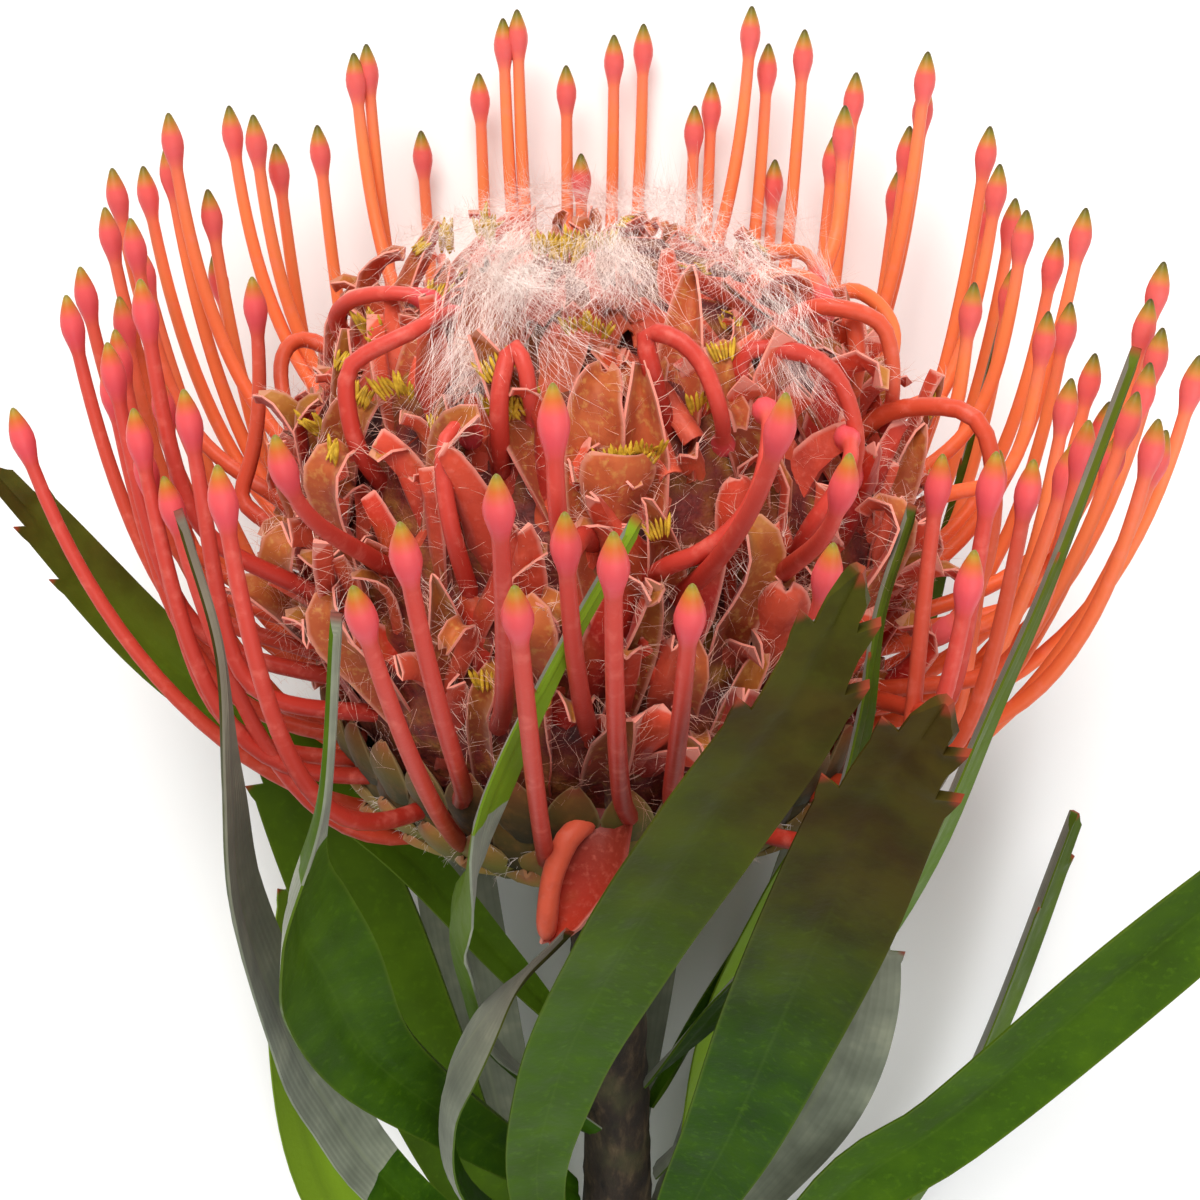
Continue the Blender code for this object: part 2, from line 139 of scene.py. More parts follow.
# Each leaf: blade width, azimuth and height of its base on the stem, points up its midrib as
# (x, y, z, roll), then which blade it is cut from, how bronzed its tip is and how yellow it is.
# Roll turns the blade about its midrib, in degrees, from facing straight up as the flower lies.
LEAVES = (
    (7.5, 180, -32, ((-10, -1, -22, 40), (-21, 0, -8, 50), (-36, 4, 4, 50), (-47, 8, 12, 50),
                    (-61, 12, 28, 50)), "one_sided", 0.9, 0.25),
    (9, 197, -72, ((-21, -10, -46, 50), (-28, -15, -28, 65), (-30, -22, -12, 80),
                   (-31, -28, 4, 90), (-30, -31, 18, 80), (-30, -30, 29, 70),
                   (-33, -25, 37, 70)), "slender", 0.8, 0.0),
    (11, 190, -54, ((-13, -7, -40, 22), (-22, -17, -22, 30), (-24, -28, -4, 45),
                    (-24, -38, 10, 80), (-20, -44, 24, 95), (-18, -46, 38, 80)),
     "slender", 0.2, 0.2),
    (12, 165, -76, ((-14, 2, -56, 20), (-21, 3, -36, 15), (-27, 5, -18, 15), (-34, 8, 0, 15)),
     "blunt", 0.2, 0.2),
    (9, 235, -42, ((-11, -8, -28, 100), (-13, -15, -14, 105), (-13, -22, -3, 105),
                   (-11, -29, 6, 95), (-9, -34, 17, 70), (-4, -37, 30, 55), (2, -38, 42, 55)),
     "narrow", 0.0, 1.0),
    (8, 218, -62, ((-14, -12, -44, 100), (-15, -18, -26, 100), (-9, -25, -9, 105),
                   (-3, -31.5, 3, 100)), "slender", 0.8, 0.0),
    (9, 250, -74, ((-6.5, -12, -45, 8), (-4, -24.5, -18, 12), (2, -36, 5, 14),
                   (7.5, -44, 21, 15), (12.5, -50, 34, 15), (15.5, -53, 44, 15)),
     "shouldered", 0.9, 0.1),
    (11, 300, -78, ((9, -10, -50, -10), (13, -18, -30, -10), (16, -26, -11, -8),
                    (18.5, -34, 6, -5), (21, -41, 22, -5), (23.5, -45, 31, -5)),
     "shouldered", 1.0, 0.0),
    (7, 325, -36, ((11, -10, -22, 40), (17, -17.5, -6, 55), (20.5, -23.5, 10, 60),
                   (22, -24.5, 20, 60), (23, -23, 29, 60), (25.5, -19.5, 36, 60)),
     "narrow", 0.5, 0.1),
    (6.8, 345, -50, ((14, -10, -32, 50), (23, -20, -10, 60), (28, -25, 6, 62), (32, -27, 22, 62),
                   (36, -26, 34, 62), (42, -20, 49, 60)), "narrow", 0.7, 0.7),
    (10, 0, -72, ((16, -3, -52, 150), (23, -6, -36, 150), (25.5, -9, -22, 150),
                  (26, -11, -10, 150)), "blunt", 0.2, 0.1),
    (9, 30, -98, ((24, 5, -78, 55), (37, 7, -62, 60), (45, 10, -42, 60), (53, 14, -14, 60)),
     "forked", 0.3, 0.2),
    (12, 340, -88, ((25, -8, -49, 20), (37, -10, -35, 20), (52, -13, -14, 20),
                    (67, -14, 4, 20)), "blunt", 0.1, 0.08),
    (10, 150, -104, ((-20, 6, -86, 55), (-33, 9, -62, 55), (-36, 12, -40, 55),
                     (-34, 15, -18, 55)), "blunt", 0.1, 0.8),
    (4, 35, -44, ((15, 6, -26, 40), (27, 11, -8, 30), (34, 15, 8, 25), (37.5, 17.5, 24, 20),
                  (41, 20, 41, 20)), "narrow", 0.6, 0.2),
    (10, 15, -58, ((13, 3, -36, 40), (20, 3, -16, 40), (27, 1, 0, 40)), "blunt", 0.1, 0.7),
    (10, 110, -84, ((-10, 9, -58, 165), (-16, 15, -30, 165), (-19, 23, -6, 165)),
     "shouldered", 0.3, 0.1),
    (10, 60, -92, ((12, 8, -68, 190), (20, 13, -42, 190), (27, 20, -14, 190)),
     "forked", 0.3, 0.1),
    (10, 85, -64, ((3, 9, -46, 180), (5, 16, -24, 180), (6, 22, -7, 180)),
     "blunt", 0.2, 0.2),
)


# ---- Places ----

def flower_to_world():
    """The matrix from the flower's own frame to the world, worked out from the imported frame."""
    head_low, head_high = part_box("floret_head")
    stem_low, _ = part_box("stem")
    along_table = (STEM_RADIUS * math.sin(LYING_TILT) + STEM_LENGTH * math.cos(LYING_TILT)) * MM
    above_table = (STEM_RADIUS * math.cos(LYING_TILT) + STEM_LENGTH * math.sin(LYING_TILT)) * MM
    middle = Vector(((head_low.x + head_high.x) / 2, stem_low.y + along_table, above_table))
    return Matrix.Translation(middle) @ Matrix.Rotation(LYING_TILT - math.pi / 2, 4, "X")


FLOWER = flower_to_world()


def in_flower(point):
    """The world place of a point given in millimetres in the flower's frame."""
    return FLOWER @ (Vector(point) * MM)


def between(rows, place, column):
    """A column's value where the first column, which rises, reaches a place."""
    for low, high in zip(rows, rows[1:]):
        if place <= high[0]:
            share = (place - low[0]) / (high[0] - low[0])
            return low[column] + (high[column] - low[column]) * share
    return rows[-1][column]


def head_radius_at(height):
    return between([(h, r) for r, h in HEAD_OUTSIDE], height, 1)


def head_slope(height, above, below):
    """Which way the head's outside runs at a height, as (outwards, upwards)."""
    rise = head_radius_at(height + above) - head_radius_at(height - below)
    return Vector((rise, above + below)).normalized()


def stem_at(height):
    """The stem's sideways place and its radius at a height."""
    rows = [(h, x, r) for x, h, r in STEM_PROFILE]
    return between(rows, height, 1), between(rows, height, 2)


def evenly(low, high, steps):
    return [low + (high - low) * i / steps for i in range(steps + 1)]


def clamped(value):
    return min(1.0, max(0.0, value))


def bezier(first, second, third, fourth, t):
    s = 1 - t
    return s**3 * first + 3 * s * s * t * second + 3 * s * t * t * third + t**3 * fourth


def catmull_rom(values, t):
    """A smooth value between the given ones, for t from 0 at the first to 1 at the last."""
    place = t * (len(values) - 1)
    index = min(int(place), len(values) - 2)
    f = place - index
    b = values[index]
    c = values[index + 1]
    a = values[index - 1] if index > 0 else b * 2 - c
    d = values[index + 2] if index + 2 < len(values) else c * 2 - b
    return 0.5 * (2 * b + (c - a) * f + (2 * a - 5 * b + 4 * c - d) * f * f
                  + (3 * b - a - 3 * c + d) * f**3)


def chain_length(points):
    return sum((b - a).length for a, b in zip(points, points[1:]))


# ---- Working by hand ----

def pick(piece):
    """Makes one piece the only selected and the active one."""
    bpy.ops.object.select_all(action="DESELECT")
    piece.select_set(True)
    bpy.context.view_layer.objects.active = piece


def start_edit(piece):
    """Opens a piece for editing by its vertices, with all of them selected."""
    pick(piece)
    bpy.ops.object.mode_set(mode="EDIT")
    bpy.ops.mesh.select_mode(type="VERT")
    bpy.ops.mesh.select_all(action="SELECT")


def end_edit():
    bpy.ops.object.mode_set(mode="OBJECT")


def select_where(piece, test):
    """In edit mode, selects the vertices whose place passes a test, and nothing else."""
    shape = bmesh.from_edit_mesh(piece.data)
    for vertex in shape.verts:
        vertex.select = test(vertex.co)
    shape.select_flush_mode()
    bmesh.update_edit_mesh(piece.data)


def move(x, y, z):
    bpy.ops.transform.translate(value=(x * MM, y * MM, z * MM))


def resize(x, y, z, centre):
    bpy.ops.transform.resize(value=(x, y, z), center_override=tuple(c * MM for c in centre))


def extrude(x, y, z):
    bpy.ops.mesh.extrude_region_move(
        TRANSFORM_OT_translate={"value": (x * MM, y * MM, z * MM)}
    )


def named(piece, name):
    piece.name = name
    piece.data.name = name
    return piece


def copy_of(template, name):
    """A copy with a mesh of its own."""
    piece = template.copy()
    piece.data = template.data.copy()
    bpy.context.scene.collection.objects.link(piece)
    return named(piece, name)


def placed(template, name, matrix):
    """A copy of a template, moved by a world or local matrix."""
    piece = copy_of(template, name)
    piece.data.transform(matrix)
    return piece


def throw_away(*pieces):
    for piece in pieces:
        bpy.data.objects.remove(piece, do_unlink=True)


def join(pieces, name):
    """One piece from many."""
    pick(pieces[0])
    for piece in pieces:
        piece.select_set(True)
    bpy.ops.object.join()
    return named(pieces[0], name)


def strewn(name, copies, material=None):
    """One piece of many copies, each given as its template and the matrix that places it."""
    whole = join([placed(template, name, matrix) for template, matrix in copies], name)
    if material:
        whole.data.materials.clear()
        whole.data.materials.append(material)
    return whole


def apply_modifier(piece, kind, **settings):
    modifier = piece.modifiers.new("shaping", kind)
    for setting, value in settings.items():
        setattr(modifier, setting, value)
    pick(piece)
    bpy.ops.object.modifier_apply(modifier=modifier.name)


def smooth(piece, angle=60):
    pick(piece)
    bpy.ops.object.shade_smooth_by_angle(angle=math.radians(angle))


def mark(piece, attribute, value_at):
    """Stores a number on each vertex, worked out from its place in millimetres."""
    mesh = piece.data
    layer = mesh.attributes.get(attribute) or mesh.attributes.new(attribute, "FLOAT", "POINT")
    for vertex in mesh.vertices:
        layer.data[vertex.index].value = value_at(vertex.co / MM)


def start_disc(name, sides, radius):
    """A disc across X, opened for editing with all of it selected."""
    bpy.ops.mesh.primitive_circle_add(vertices=sides, radius=radius * MM, fill_type="NGON",
                                      rotation=(0, math.pi / 2, 0))
    piece = named(bpy.context.object, name)
    bpy.ops.object.transform_apply(location=False, rotation=True, scale=True)
    start_edit(piece)
    return piece


def drawn_along(name, sides, radius, rings):
    """A closed round piece along X, drawn out ring by ring: a ring is (place, radius)."""
    piece = start_disc(name, sides, radius)
    reached = 0.0
    for place, next_radius in rings:
        extrude(place - reached, 0, 0)
        resize(1, next_radius / radius, next_radius / radius, (place, 0, 0))
        reached, radius = place, next_radius
    end_edit()
    return piece


def strip(name, columns, length, half, height_at):
    """A strip one row long, along X, whose section height_at gives for -1 to 1 across it.

    It is left open for editing, with its far end selected.
    """
    bpy.ops.mesh.primitive_grid_add(x_subdivisions=1, y_subdivisions=columns, size=1)
    piece = named(bpy.context.object, name)
    start_edit(piece)
    bpy.ops.transform.translate(value=(0.5, 0, 0))
    resize(length * MM, 2 * half * MM, 1, (0, 0, 0))
    for column in range(columns + 1):
        across = 2 * column / columns - 1
        select_where(piece, lambda place: abs(place.y / MM - across * half) < NEAR)
        move(0, 0, height_at(across))
    end_edit()
    mark(piece, "across", lambda place: place.y / half)
    start_edit(piece)
    select_where(piece, lambda place: place.x > (length - NEAR) * MM)
    return piece


def bend_along(piece, points, rolls=None):
    """Bends a piece that lies along X to run along world points, and turns it by the rolls."""
    route = bpy.data.curves.new("route", "CURVE")
    route.dimensions = "3D"
    route.twist_mode = "Z_UP"
    spline = route.splines.new("POLY")
    spline.points.add(len(points) - 1)
    for index, point in enumerate(points):
        spline.points[index].co = (*point, 1)
        if rolls:
            spline.points[index].tilt = math.radians(rolls[index])
    guide = bpy.data.objects.new("route", route)
    bpy.context.scene.collection.objects.link(guide)
    apply_modifier(piece, "CURVE", object=guide, deform_axis="POS_X")
    throw_away(guide)
    bpy.data.curves.remove(route)


def finish_piece(piece, slot, *replaced):
    """Says what a piece rides on, and what it stands for. Its slot is not used."""
    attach(piece, "root")
    if replaced:
        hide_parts(*replaced)


# ---- Materials ----

def linear(hex_colour):
    """An sRGB hex colour as linear RGBA."""
    channels = [int(hex_colour[i:i + 2], 16) / 255 for i in (1, 3, 5)]
    return tuple(c / 12.92 if c <= 0.04045 else ((c + 0.055) / 1.055) ** 2.4
                 for c in channels) + (1.0,)


def add_node(material, kind, settings=None, inputs=None, output=0, stops=()):
    """Adds a node with its settings, inputs and colour stops, and gives one of its outputs.

    An input that is a socket is linked, a hex colour is turned linear, and a value is set.
    """
    tree = material.node_tree
    node = tree.nodes.new(kind)
    for setting, value in (settings or {}).items():
        setattr(node, setting, value)
    for socket, value in (inputs or {}).items():
        if isinstance(value, bpy.types.NodeSocket):
            tree.links.new(value, node.inputs[socket])
        else:
            node.inputs[socket].default_value = linear(value) if isinstance(value, str) else value
    if stops:
        elements = node.color_ramp.elements
        while len(elements) < len(stops):
            elements.new(0.5)
        for element, (place, colour) in zip(elements, stops):
            element.position = place
            element.color = linear(colour)
    return node.outputs[output]


def new_material(name, roughness, **constants):
    material = bpy.data.materials.new(name)
    material.use_nodes = True
    sockets = material.node_tree.nodes["Principled BSDF"].inputs
    for socket, value in {"Roughness": roughness, **constants}.items():
        sockets[socket.replace("_", " ")].default_value = value
    return material


def mask_from(material, mask):
    """A mask is an attribute's name, a socket, or noise: (blotch in mm, detail, grain, rough).

    Noise lies in Object coordinates, and grain stretches it where a pattern has one.
    """
    if isinstance(mask, str):
        return add_node(material, "ShaderNodeAttribute", {"attribute_name": mask}, None, "Fac")
    if not isinstance(mask, tuple):
        return mask
    size_mm, detail, grain, rough = mask + ((1, 1, 1), 0.55)[len(mask) - 2:]
    where = add_node(material, "ShaderNodeTexCoord", output="Object")
    where = add_node(material, "ShaderNodeMapping", None, {"Vector": where, "Scale": grain})
    return add_node(material, "ShaderNodeTexNoise", None,
                    {"Vector": where, "Scale": 1000 / size_mm, "Detail": detail,
                     "Roughness": rough})


def eased(material, mask, low, high, to_low=0.0, to_high=1.0):
    """A mask's run from low to high, eased and moved to another run."""
    return add_node(material, "ShaderNodeMapRange", {"interpolation_type": "SMOOTHSTEP"},
                    {"Value": mask_from(material, mask), "From Min": low, "From Max": high,
                     "To Min": to_low, "To Max": to_high})


def layered(material, base, *layers):
    """A base colour with others laid over it, each as strongly as its mask says.

    The base is a colour or (mask, colour stops), and a layer is (colour, mask), which the numbers
    for eased may follow.
    """
    if isinstance(base, tuple):
        mask, stops = base
        base = add_node(material, "ShaderNodeValToRGB", None,
                        {"Fac": mask_from(material, mask)}, stops=stops)
    for colour, mask, *run in layers:
        share = eased(material, mask, *run) if run else mask_from(material, mask)
        base = add_node(material, "ShaderNodeMix", {"data_type": "RGBA"},
                        {0: share, 6: base, 7: colour}, 2)
    return base


def set_surface(material, colour, relief=None, depth_mm=0.0, strength=1.0, roughness=None):
    """Gives a material its colour, the fine relief that a mask draws, and uneven roughness."""
    sockets = material.node_tree.nodes["Principled BSDF"].inputs
    links = material.node_tree.links
    links.new(colour, sockets["Base Color"])
    if relief is not None:
        normal = add_node(material, "ShaderNodeBump", None,
                          {"Height": mask_from(material, relief), "Distance": depth_mm * MM,
                           "Strength": strength})
        links.new(normal, sockets["Normal"])
    if roughness is not None:
        links.new(roughness, sockets["Roughness"])
    return material


def style_material():
    """Waxy living tissue of a style: coral red; the pollen presenter is pink and ends in an orange
    and olive tip. Styles lower down are painted paler and more orange: painted backlight, for
    the light that comes through them."""
    material = new_material("waxy_style_tissue", 0.4, IOR=1.4, Subsurface_Weight=0.1,
                            Subsurface_Scale=0.001, Subsurface_Radius=(1.0, 0.35, 0.2),
                            Specular_IOR_Level=0.3)
    where = add_node(material, "ShaderNodeTexCoord", output="Object")
    place = add_node(material, "ShaderNodeSeparateXYZ", None, {"Vector": where}).node.outputs
    # Painted backlight: the lower a style lies, and the further towards +X, the paler and more
    # orange it is painted.
    sunward = add_node(material, "ShaderNodeMath", {"operation": "MULTIPLY"},
                       {0: place["X"], 1: 0.3})
    painted_backlight = (add_node(material, "ShaderNodeMath", {"operation": "SUBTRACT"},
                    {0: place["Z"], 1: sunward}), 0.026, 0.062)
    upper = layered(material, ("along", ((0.0, "#8E2016"), (0.3, "#B43428"), (0.75, "#C64438"),
                                         (1.0, "#D04C42"))))
    shaft = layered(material, ("along", ((0.0, "#D04C22"), (0.35, "#E86838"), (0.8, "#F0844E"),
                                         (1.0, "#F07C62"))),
                    (upper, *painted_backlight), ("#E88070", (1.6, 4.0), 0.5, 0.75, 0.0, 0.3))
    front = layered(material, ("presenter", (
        (0.0, "#D04C42"), (0.3, "#DE5058"), (0.64, "#DC5456"), (0.82, "#C4622C"),
        (0.93, "#A8802A"), (1.0, "#76702A"))))
    tip = layered(material, ("presenter", (
        (0.0, "#F07C62"), (0.3, "#EA6A68"), (0.6, "#DC5E56"), (0.74, "#BC7A34"),
        (0.88, "#7E7020"), (1.0, "#3A3612"))), (front, *painted_backlight))
    whole = layered(material, shaft, (tip, "presenter", 0.02, 0.15))
    return set_surface(material, whole, (0.5, 2.0), 0.04, 0.6)


def petal_materials():
    """Perianth tissue: crimson outside with fine silky down and a thin pale margin, and ochre
    brown inside. Each strap's own shade comes from an attribute, which also holds painted
    light: straps higher up the head are painted paler."""
    outer = new_material("silky_perianth_outside", 0.42, IOR=1.4, Sheen_Weight=0.06,
                         Sheen_Roughness=0.4, Specular_IOR_Level=0.3)
    edge = layered(outer, "#8E2E22", ("#E8A292", "along", 0.1, 0.7))
    body = layered(outer, ("along", ((0.0, "#340607"), (0.3, "#6E0E0E"), (0.6, "#A01A16"),
                                     (1.0, "#C63A24"))),
                   # Paler by each strap's shade: its own random tone, and painted light higher up
                   # the head.
                   ("#DC5E42", "shade", 0.0, 1.0, 0.0, 0.9),
                   ("#7E1010", (5.0, 3.0), 0.44, 0.7, 0.0, 0.55),
                   ("#A8562A", (8.0, 2.0), 0.52, 0.7, 0.0, 0.55),
                   ("#D8705E", (0.6, 3.0), 0.5, 0.78, 0.0, 0.4),
                   (edge, "rim", 0.84, 1.0, 0.0, 0.65))
    set_surface(outer, body, (0.6, 3.0), 0.08, 0.7)

    inner = new_material("perianth_inside", 0.55, IOR=1.4, Sheen_Weight=0.1,
                         Specular_IOR_Level=0.35)
    body = layered(inner, ("along", ((0.0, "#46140A"), (0.4, "#762C12"), (0.75, "#95501C"),
                                     (1.0, "#AE7228"))),
                   ("#BC5430", "shade", 0.0, 1.0, 0.0, 0.75),
                   ("#8A2C14", (3.0, 3.0), 0.42, 0.68, 0.0, 0.6),
                   ("#C8984E", (0.7, 3.0), 0.5, 0.75, 0.0, 0.45),
                   ("#DC9C88", "rim", 0.84, 1.0, 0.0, 0.5))
    return outer, set_surface(inner, body, (0.6, 3.0), 0.08, 0.7)


def leaf_materials():
    """Leathery leaf: satin green above, mottled and bronzed at the tip, with callus-tipped teeth
    and a thin pale margin; matte and grey below, with fine veins along it."""
    above = new_material("leathery_leaf_above", 0.5, IOR=1.42, Specular_IOR_Level=0.08)
    from_middle = add_node(above, "ShaderNodeMath", {"operation": "ABSOLUTE"},
                           {0: mask_from(above, "across")})
    tip = add_node(above, "ShaderNodeMath", {"operation": "MULTIPLY"},
                   {0: eased(above, "along", 0.5, 0.97),
                    1: eased(above, (11.0, 3.0), 0.3, 0.7, 0.85, 1.15)})
    bronzed = add_node(above, "ShaderNodeMath", {"operation": "MULTIPLY", "use_clamp": True},
                       {0: tip, 1: mask_from(above, "bronze")})
    brown = layered(above, "#38280C", ("#463A12", (6.0, 4.0), 0.35, 0.65))
    colour = layered(above, ((6.0, 4.0), ((0.3, "#203C04"), (0.5, "#2A4A05"), (0.7, "#385806"))),
                     ("#4A6E0C", (0.9, 3.0), 0.52, 0.75, 0.0, 0.4),
                     ("#7C9A24", "yellow"),
                     ("#5E7A2C", from_middle, 0.0, 0.06, 0.12, 0.0),
                     ("#5C701E", from_middle, 0.93, 1.0, 0.0, 0.45),
                     (brown, bronzed),
                     ("#8E3A26", "tooth", 0.45, 0.9, 0.0, 0.9))
    set_surface(above, colour, (0.7, 3.0), 0.06, 0.6,
                eased(above, (3.0, 3.0), 0.3, 0.7, 0.42, 0.6))

    below = new_material("downy_leaf_below", 0.75, Sheen_Weight=0.12, Sheen_Roughness=0.5,
                         Specular_IOR_Level=0.3)
    across = mask_from(below, "across")
    from_middle = add_node(below, "ShaderNodeMath", {"operation": "ABSOLUTE"}, {0: across})
    waves = add_node(below, "ShaderNodeMath", {"operation": "MULTIPLY"}, {0: across, 1: 38.0})
    veins = add_node(below, "ShaderNodeMath", {"operation": "SINE"}, {0: waves})
    bronzed = add_node(below, "ShaderNodeMath", {"operation": "MULTIPLY", "use_clamp": True},
                       {0: eased(below, "along", 0.6, 1.0), 1: mask_from(below, "bronze")})
    colour = layered(below, ((5.0, 3.0), ((0.3, "#666C5A"), (0.55, "#7C826E"), (0.75, "#949880"))),
                     ("#4C5640", veins, 0.2, 1.0, 0.0, 0.12),
                     ("#8E9678", from_middle, 0.0, 0.1, 0.5, 0.0),
                     ("#645448", bronzed),
                     ("#7E382C", "tooth", 0.45, 0.9, 0.0, 0.9))
    return above, set_surface(below, colour, veins, 0.02, 0.5)


def bark_material():
    """Bark of a young woody stem: near-black brown, rough, with olive and grey patches."""
    material = new_material("young_protea_bark", 0.82)
    grain = (1.0, 0.35, 1.0)
    colour = layered(material, ((2.2, 6.0, grain, 0.65), (
        (0.3, "#17110C"), (0.5, "#33271B"), (0.62, "#564530"), (0.78, "#7C6E50"))),
                     ("#4A4A28", (7.0, 3.0), 0.5, 0.7, 0.0, 0.6))
    return set_surface(material, colour, (1.1, 6.0, grain, 0.7), 0.35, 0.9)


def cut_wood_material():
    """Freshly cut wood: pale, damp, with a pith and growth rings."""
    material = new_material("cut_stem_wood", 0.6)
    waves = add_node(material, "ShaderNodeMath", {"operation": "MULTIPLY"},
                     {0: mask_from(material, "radial"), 1: 26.0})
    rings = add_node(material, "ShaderNodeMath", {"operation": "SINE"}, {0: waves})
    colour = layered(material, ("radial", ((0.0, "#8A6A3C"), (0.18, "#D9C08C"), (0.8, "#CDB078"),
                                           (1.0, "#6E7A3A"))),
                     ("#A98A54", rings, 0.0, 1.0, 0.0, 0.35))
    return set_surface(material, colour, (0.4, 4.0), 0.08, 0.8)


def bract_material():
    """Downy bract: olive and matte, with a paler papery margin. The upper rows are painted dark
    brown, darkest at their bases: painted shade where the head overhangs them.
    """
    material = new_material("downy_bract", 0.7, Sheen_Weight=0.06, Sheen_Roughness=0.5,
                            Specular_IOR_Level=0.2)
    # Painted shade for the rows under the head: near black at a bract's base, dark brown at its
    # tip.
    upper = layered(material, ("along", ((0.0, "#1C1206"), (0.5, "#3A220C"), (0.85, "#52280F"),
                                         (1.0, "#6A281A"))))
    colour = layered(material, ("along", ((0.0, "#565A18"), (0.5, "#8A8632"), (0.85, "#A8803C"),
                                          (1.0, "#B06C48"))),
                     (upper, "upper_row"),
                     ("#7A5222", (1.4, 4.0), 0.45, 0.75, 0.0, 0.4),
                     ("#94805A", "rim", 0.86, 1.0, 0.0, 0.4))
    return set_surface(material, colour, (0.5, 3.0), 0.06, 0.7)


def anther_material():
    """Powdery pollen on anthers: warm yellow, quite matte."""
    material = new_material("powdery_anther", 0.75)
    colour = layered(material, ((0.8, 3.0), ((0.3, "#94700C"), (0.5, "#BE9416"),
                                             (0.7, "#DCB834"))))
    return set_surface(material, colour, (0.25, 2.0), 0.05, 0.8)


def hair_materials():
    """Silky plant hair: white where it is long and loose, pinkish where it lines the perianth."""
    white = new_material("white_silky_hair", 0.55, Sheen_Weight=0.3)
    set_surface(white, layered(white, ((4.0, 2.0), ((0.3, "#F2DCD4"), (0.7, "#FFF4EE")))))
    pink = new_material("pink_silky_hair", 0.55, Sheen_Weight=0.3)
    set_surface(pink, layered(pink, ((5.0, 2.0), ((0.3, "#BC7058"), (0.5, "#E0AC98"),
                                                  (0.7, "#F2DCD2")))))
    return white, pink


def tube_material():
    """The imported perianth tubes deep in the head: dark maroon with brown."""
    material = new_material("packed_perianth_tubes", 0.7)
    colour = layered(material, ((3.0, 4.0), ((0.3, "#3A0A08"), (0.45, "#6A1A12"),
                                             (0.58, "#7A3A14"), (0.72, "#946022"))))
    return set_surface(material, colour, (1.2, 4.0), 0.5, 0.8)


def floor_material():
    """Matte painted board: pale, so that shadows stay soft."""
    return new_material("studio_sweep", 0.85, Base_Color=linear("#F7F7F6"))


# ---- Styles ----

SHAFT_LENGTH = 60.0
SHAFT_STEPS = 20
PRESENTER_LENGTH = 5.6
STYLE_SIDES = 10
ROOT_RADIUS = 0.85
NECK_RADIUS = 0.62
# A pollen presenter: (share of its length, radius), a spindle with its belly below the middle.
PRESENTER_PROFILE = ((0.06, 0.66), (0.16, 0.76), (0.28, 0.93), (0.4, 1.08), (0.52, 1.1),
                     (0.64, 0.98), (0.76, 0.77), (0.88, 0.5), (0.96, 0.3), (1.0, 0.12))


def straight_style():
    """A style lying along X: a tapered shaft and its presenter."""
    rings = list(zip(evenly(0.0, SHAFT_LENGTH, SHAFT_STEPS),
                     evenly(ROOT_RADIUS, NECK_RADIUS, SHAFT_STEPS)))[1:]
    rings += [(SHAFT_LENGTH + share * PRESENTER_LENGTH, r) for share, r in PRESENTER_PROFILE]
    style = drawn_along("straight_style", STYLE_SIDES, ROOT_RADIUS, rings)
    whole = SHAFT_LENGTH + PRESENTER_LENGTH
    mark(style, "along", lambda place: place.x / whole)
    mark(style, "presenter", lambda place: max(0.0, (place.x - SHAFT_LENGTH) / PRESENTER_LENGTH))
    smooth(style, 80)
    return style


def add_style(template, name, points, material, *replaced):
    """A copy of the straight style, drawn to the length of a route and bent along it."""
    style = copy_of(template, name)
    shaft = chain_length(points) / MM - PRESENTER_LENGTH
    start_edit(style)
    select_where(style, lambda place: place.x > (SHAFT_LENGTH + 0.1) * MM)
    move(shaft - SHAFT_LENGTH, 0, 0)
    bpy.ops.mesh.select_all(action="INVERT")
    resize(shaft / SHAFT_LENGTH, 1, 1, (0, 0, 0))
    end_edit()
    bend_along(style, points)
    style.data.materials.append(material)
    finish_piece(style, "style", *replaced)


ROUTE_STEPS = 40
ROOT_DEPTH = 3.5
# How high the middle of a style stays over the table, and how often its tip is pressed inwards.
STYLE_CLEARANCE = 1.15
PRESSES = 12


def style_route(azimuth, radius, height, ring, turn):
    """World points along one free style, from its root on the head to its tip."""
    root_height, stand_off, pull, tip_pull = FLORET_RINGS[ring]
    root = Vector((head_radius_at(root_height), root_height)) + Vector(stand_off)
    tip = Vector((radius, height))
    last_pull = tip + Vector(tip_pull)
    points = []
    for t in evenly(0, 1, ROUTE_STEPS):
        across, up = bezier(root, Vector(pull), last_pull, tip, t)
        angle = math.radians(azimuth + turn * (1 - t) ** 2)
        points.append(in_flower((across * math.cos(angle), across * math.sin(angle), up)))
    inward = (points[0] - points[1]).normalized()
    return [points[0] + inward * ROOT_DEPTH * MM] + points


def rested_route(azimuth, radius, height, ring, turn):
    """A route whose tip is pressed inwards where the style would reach below the table."""
    for _ in range(PRESSES):
        points = style_route(azimuth, radius, height, ring, turn)
        sunk = max(STYLE_CLEARANCE - point.z / MM for point in points)
        if sunk <= 0:
            break
        radius -= sunk / math.sin(math.radians(azimuth)) / math.cos(LYING_TILT)
    return points


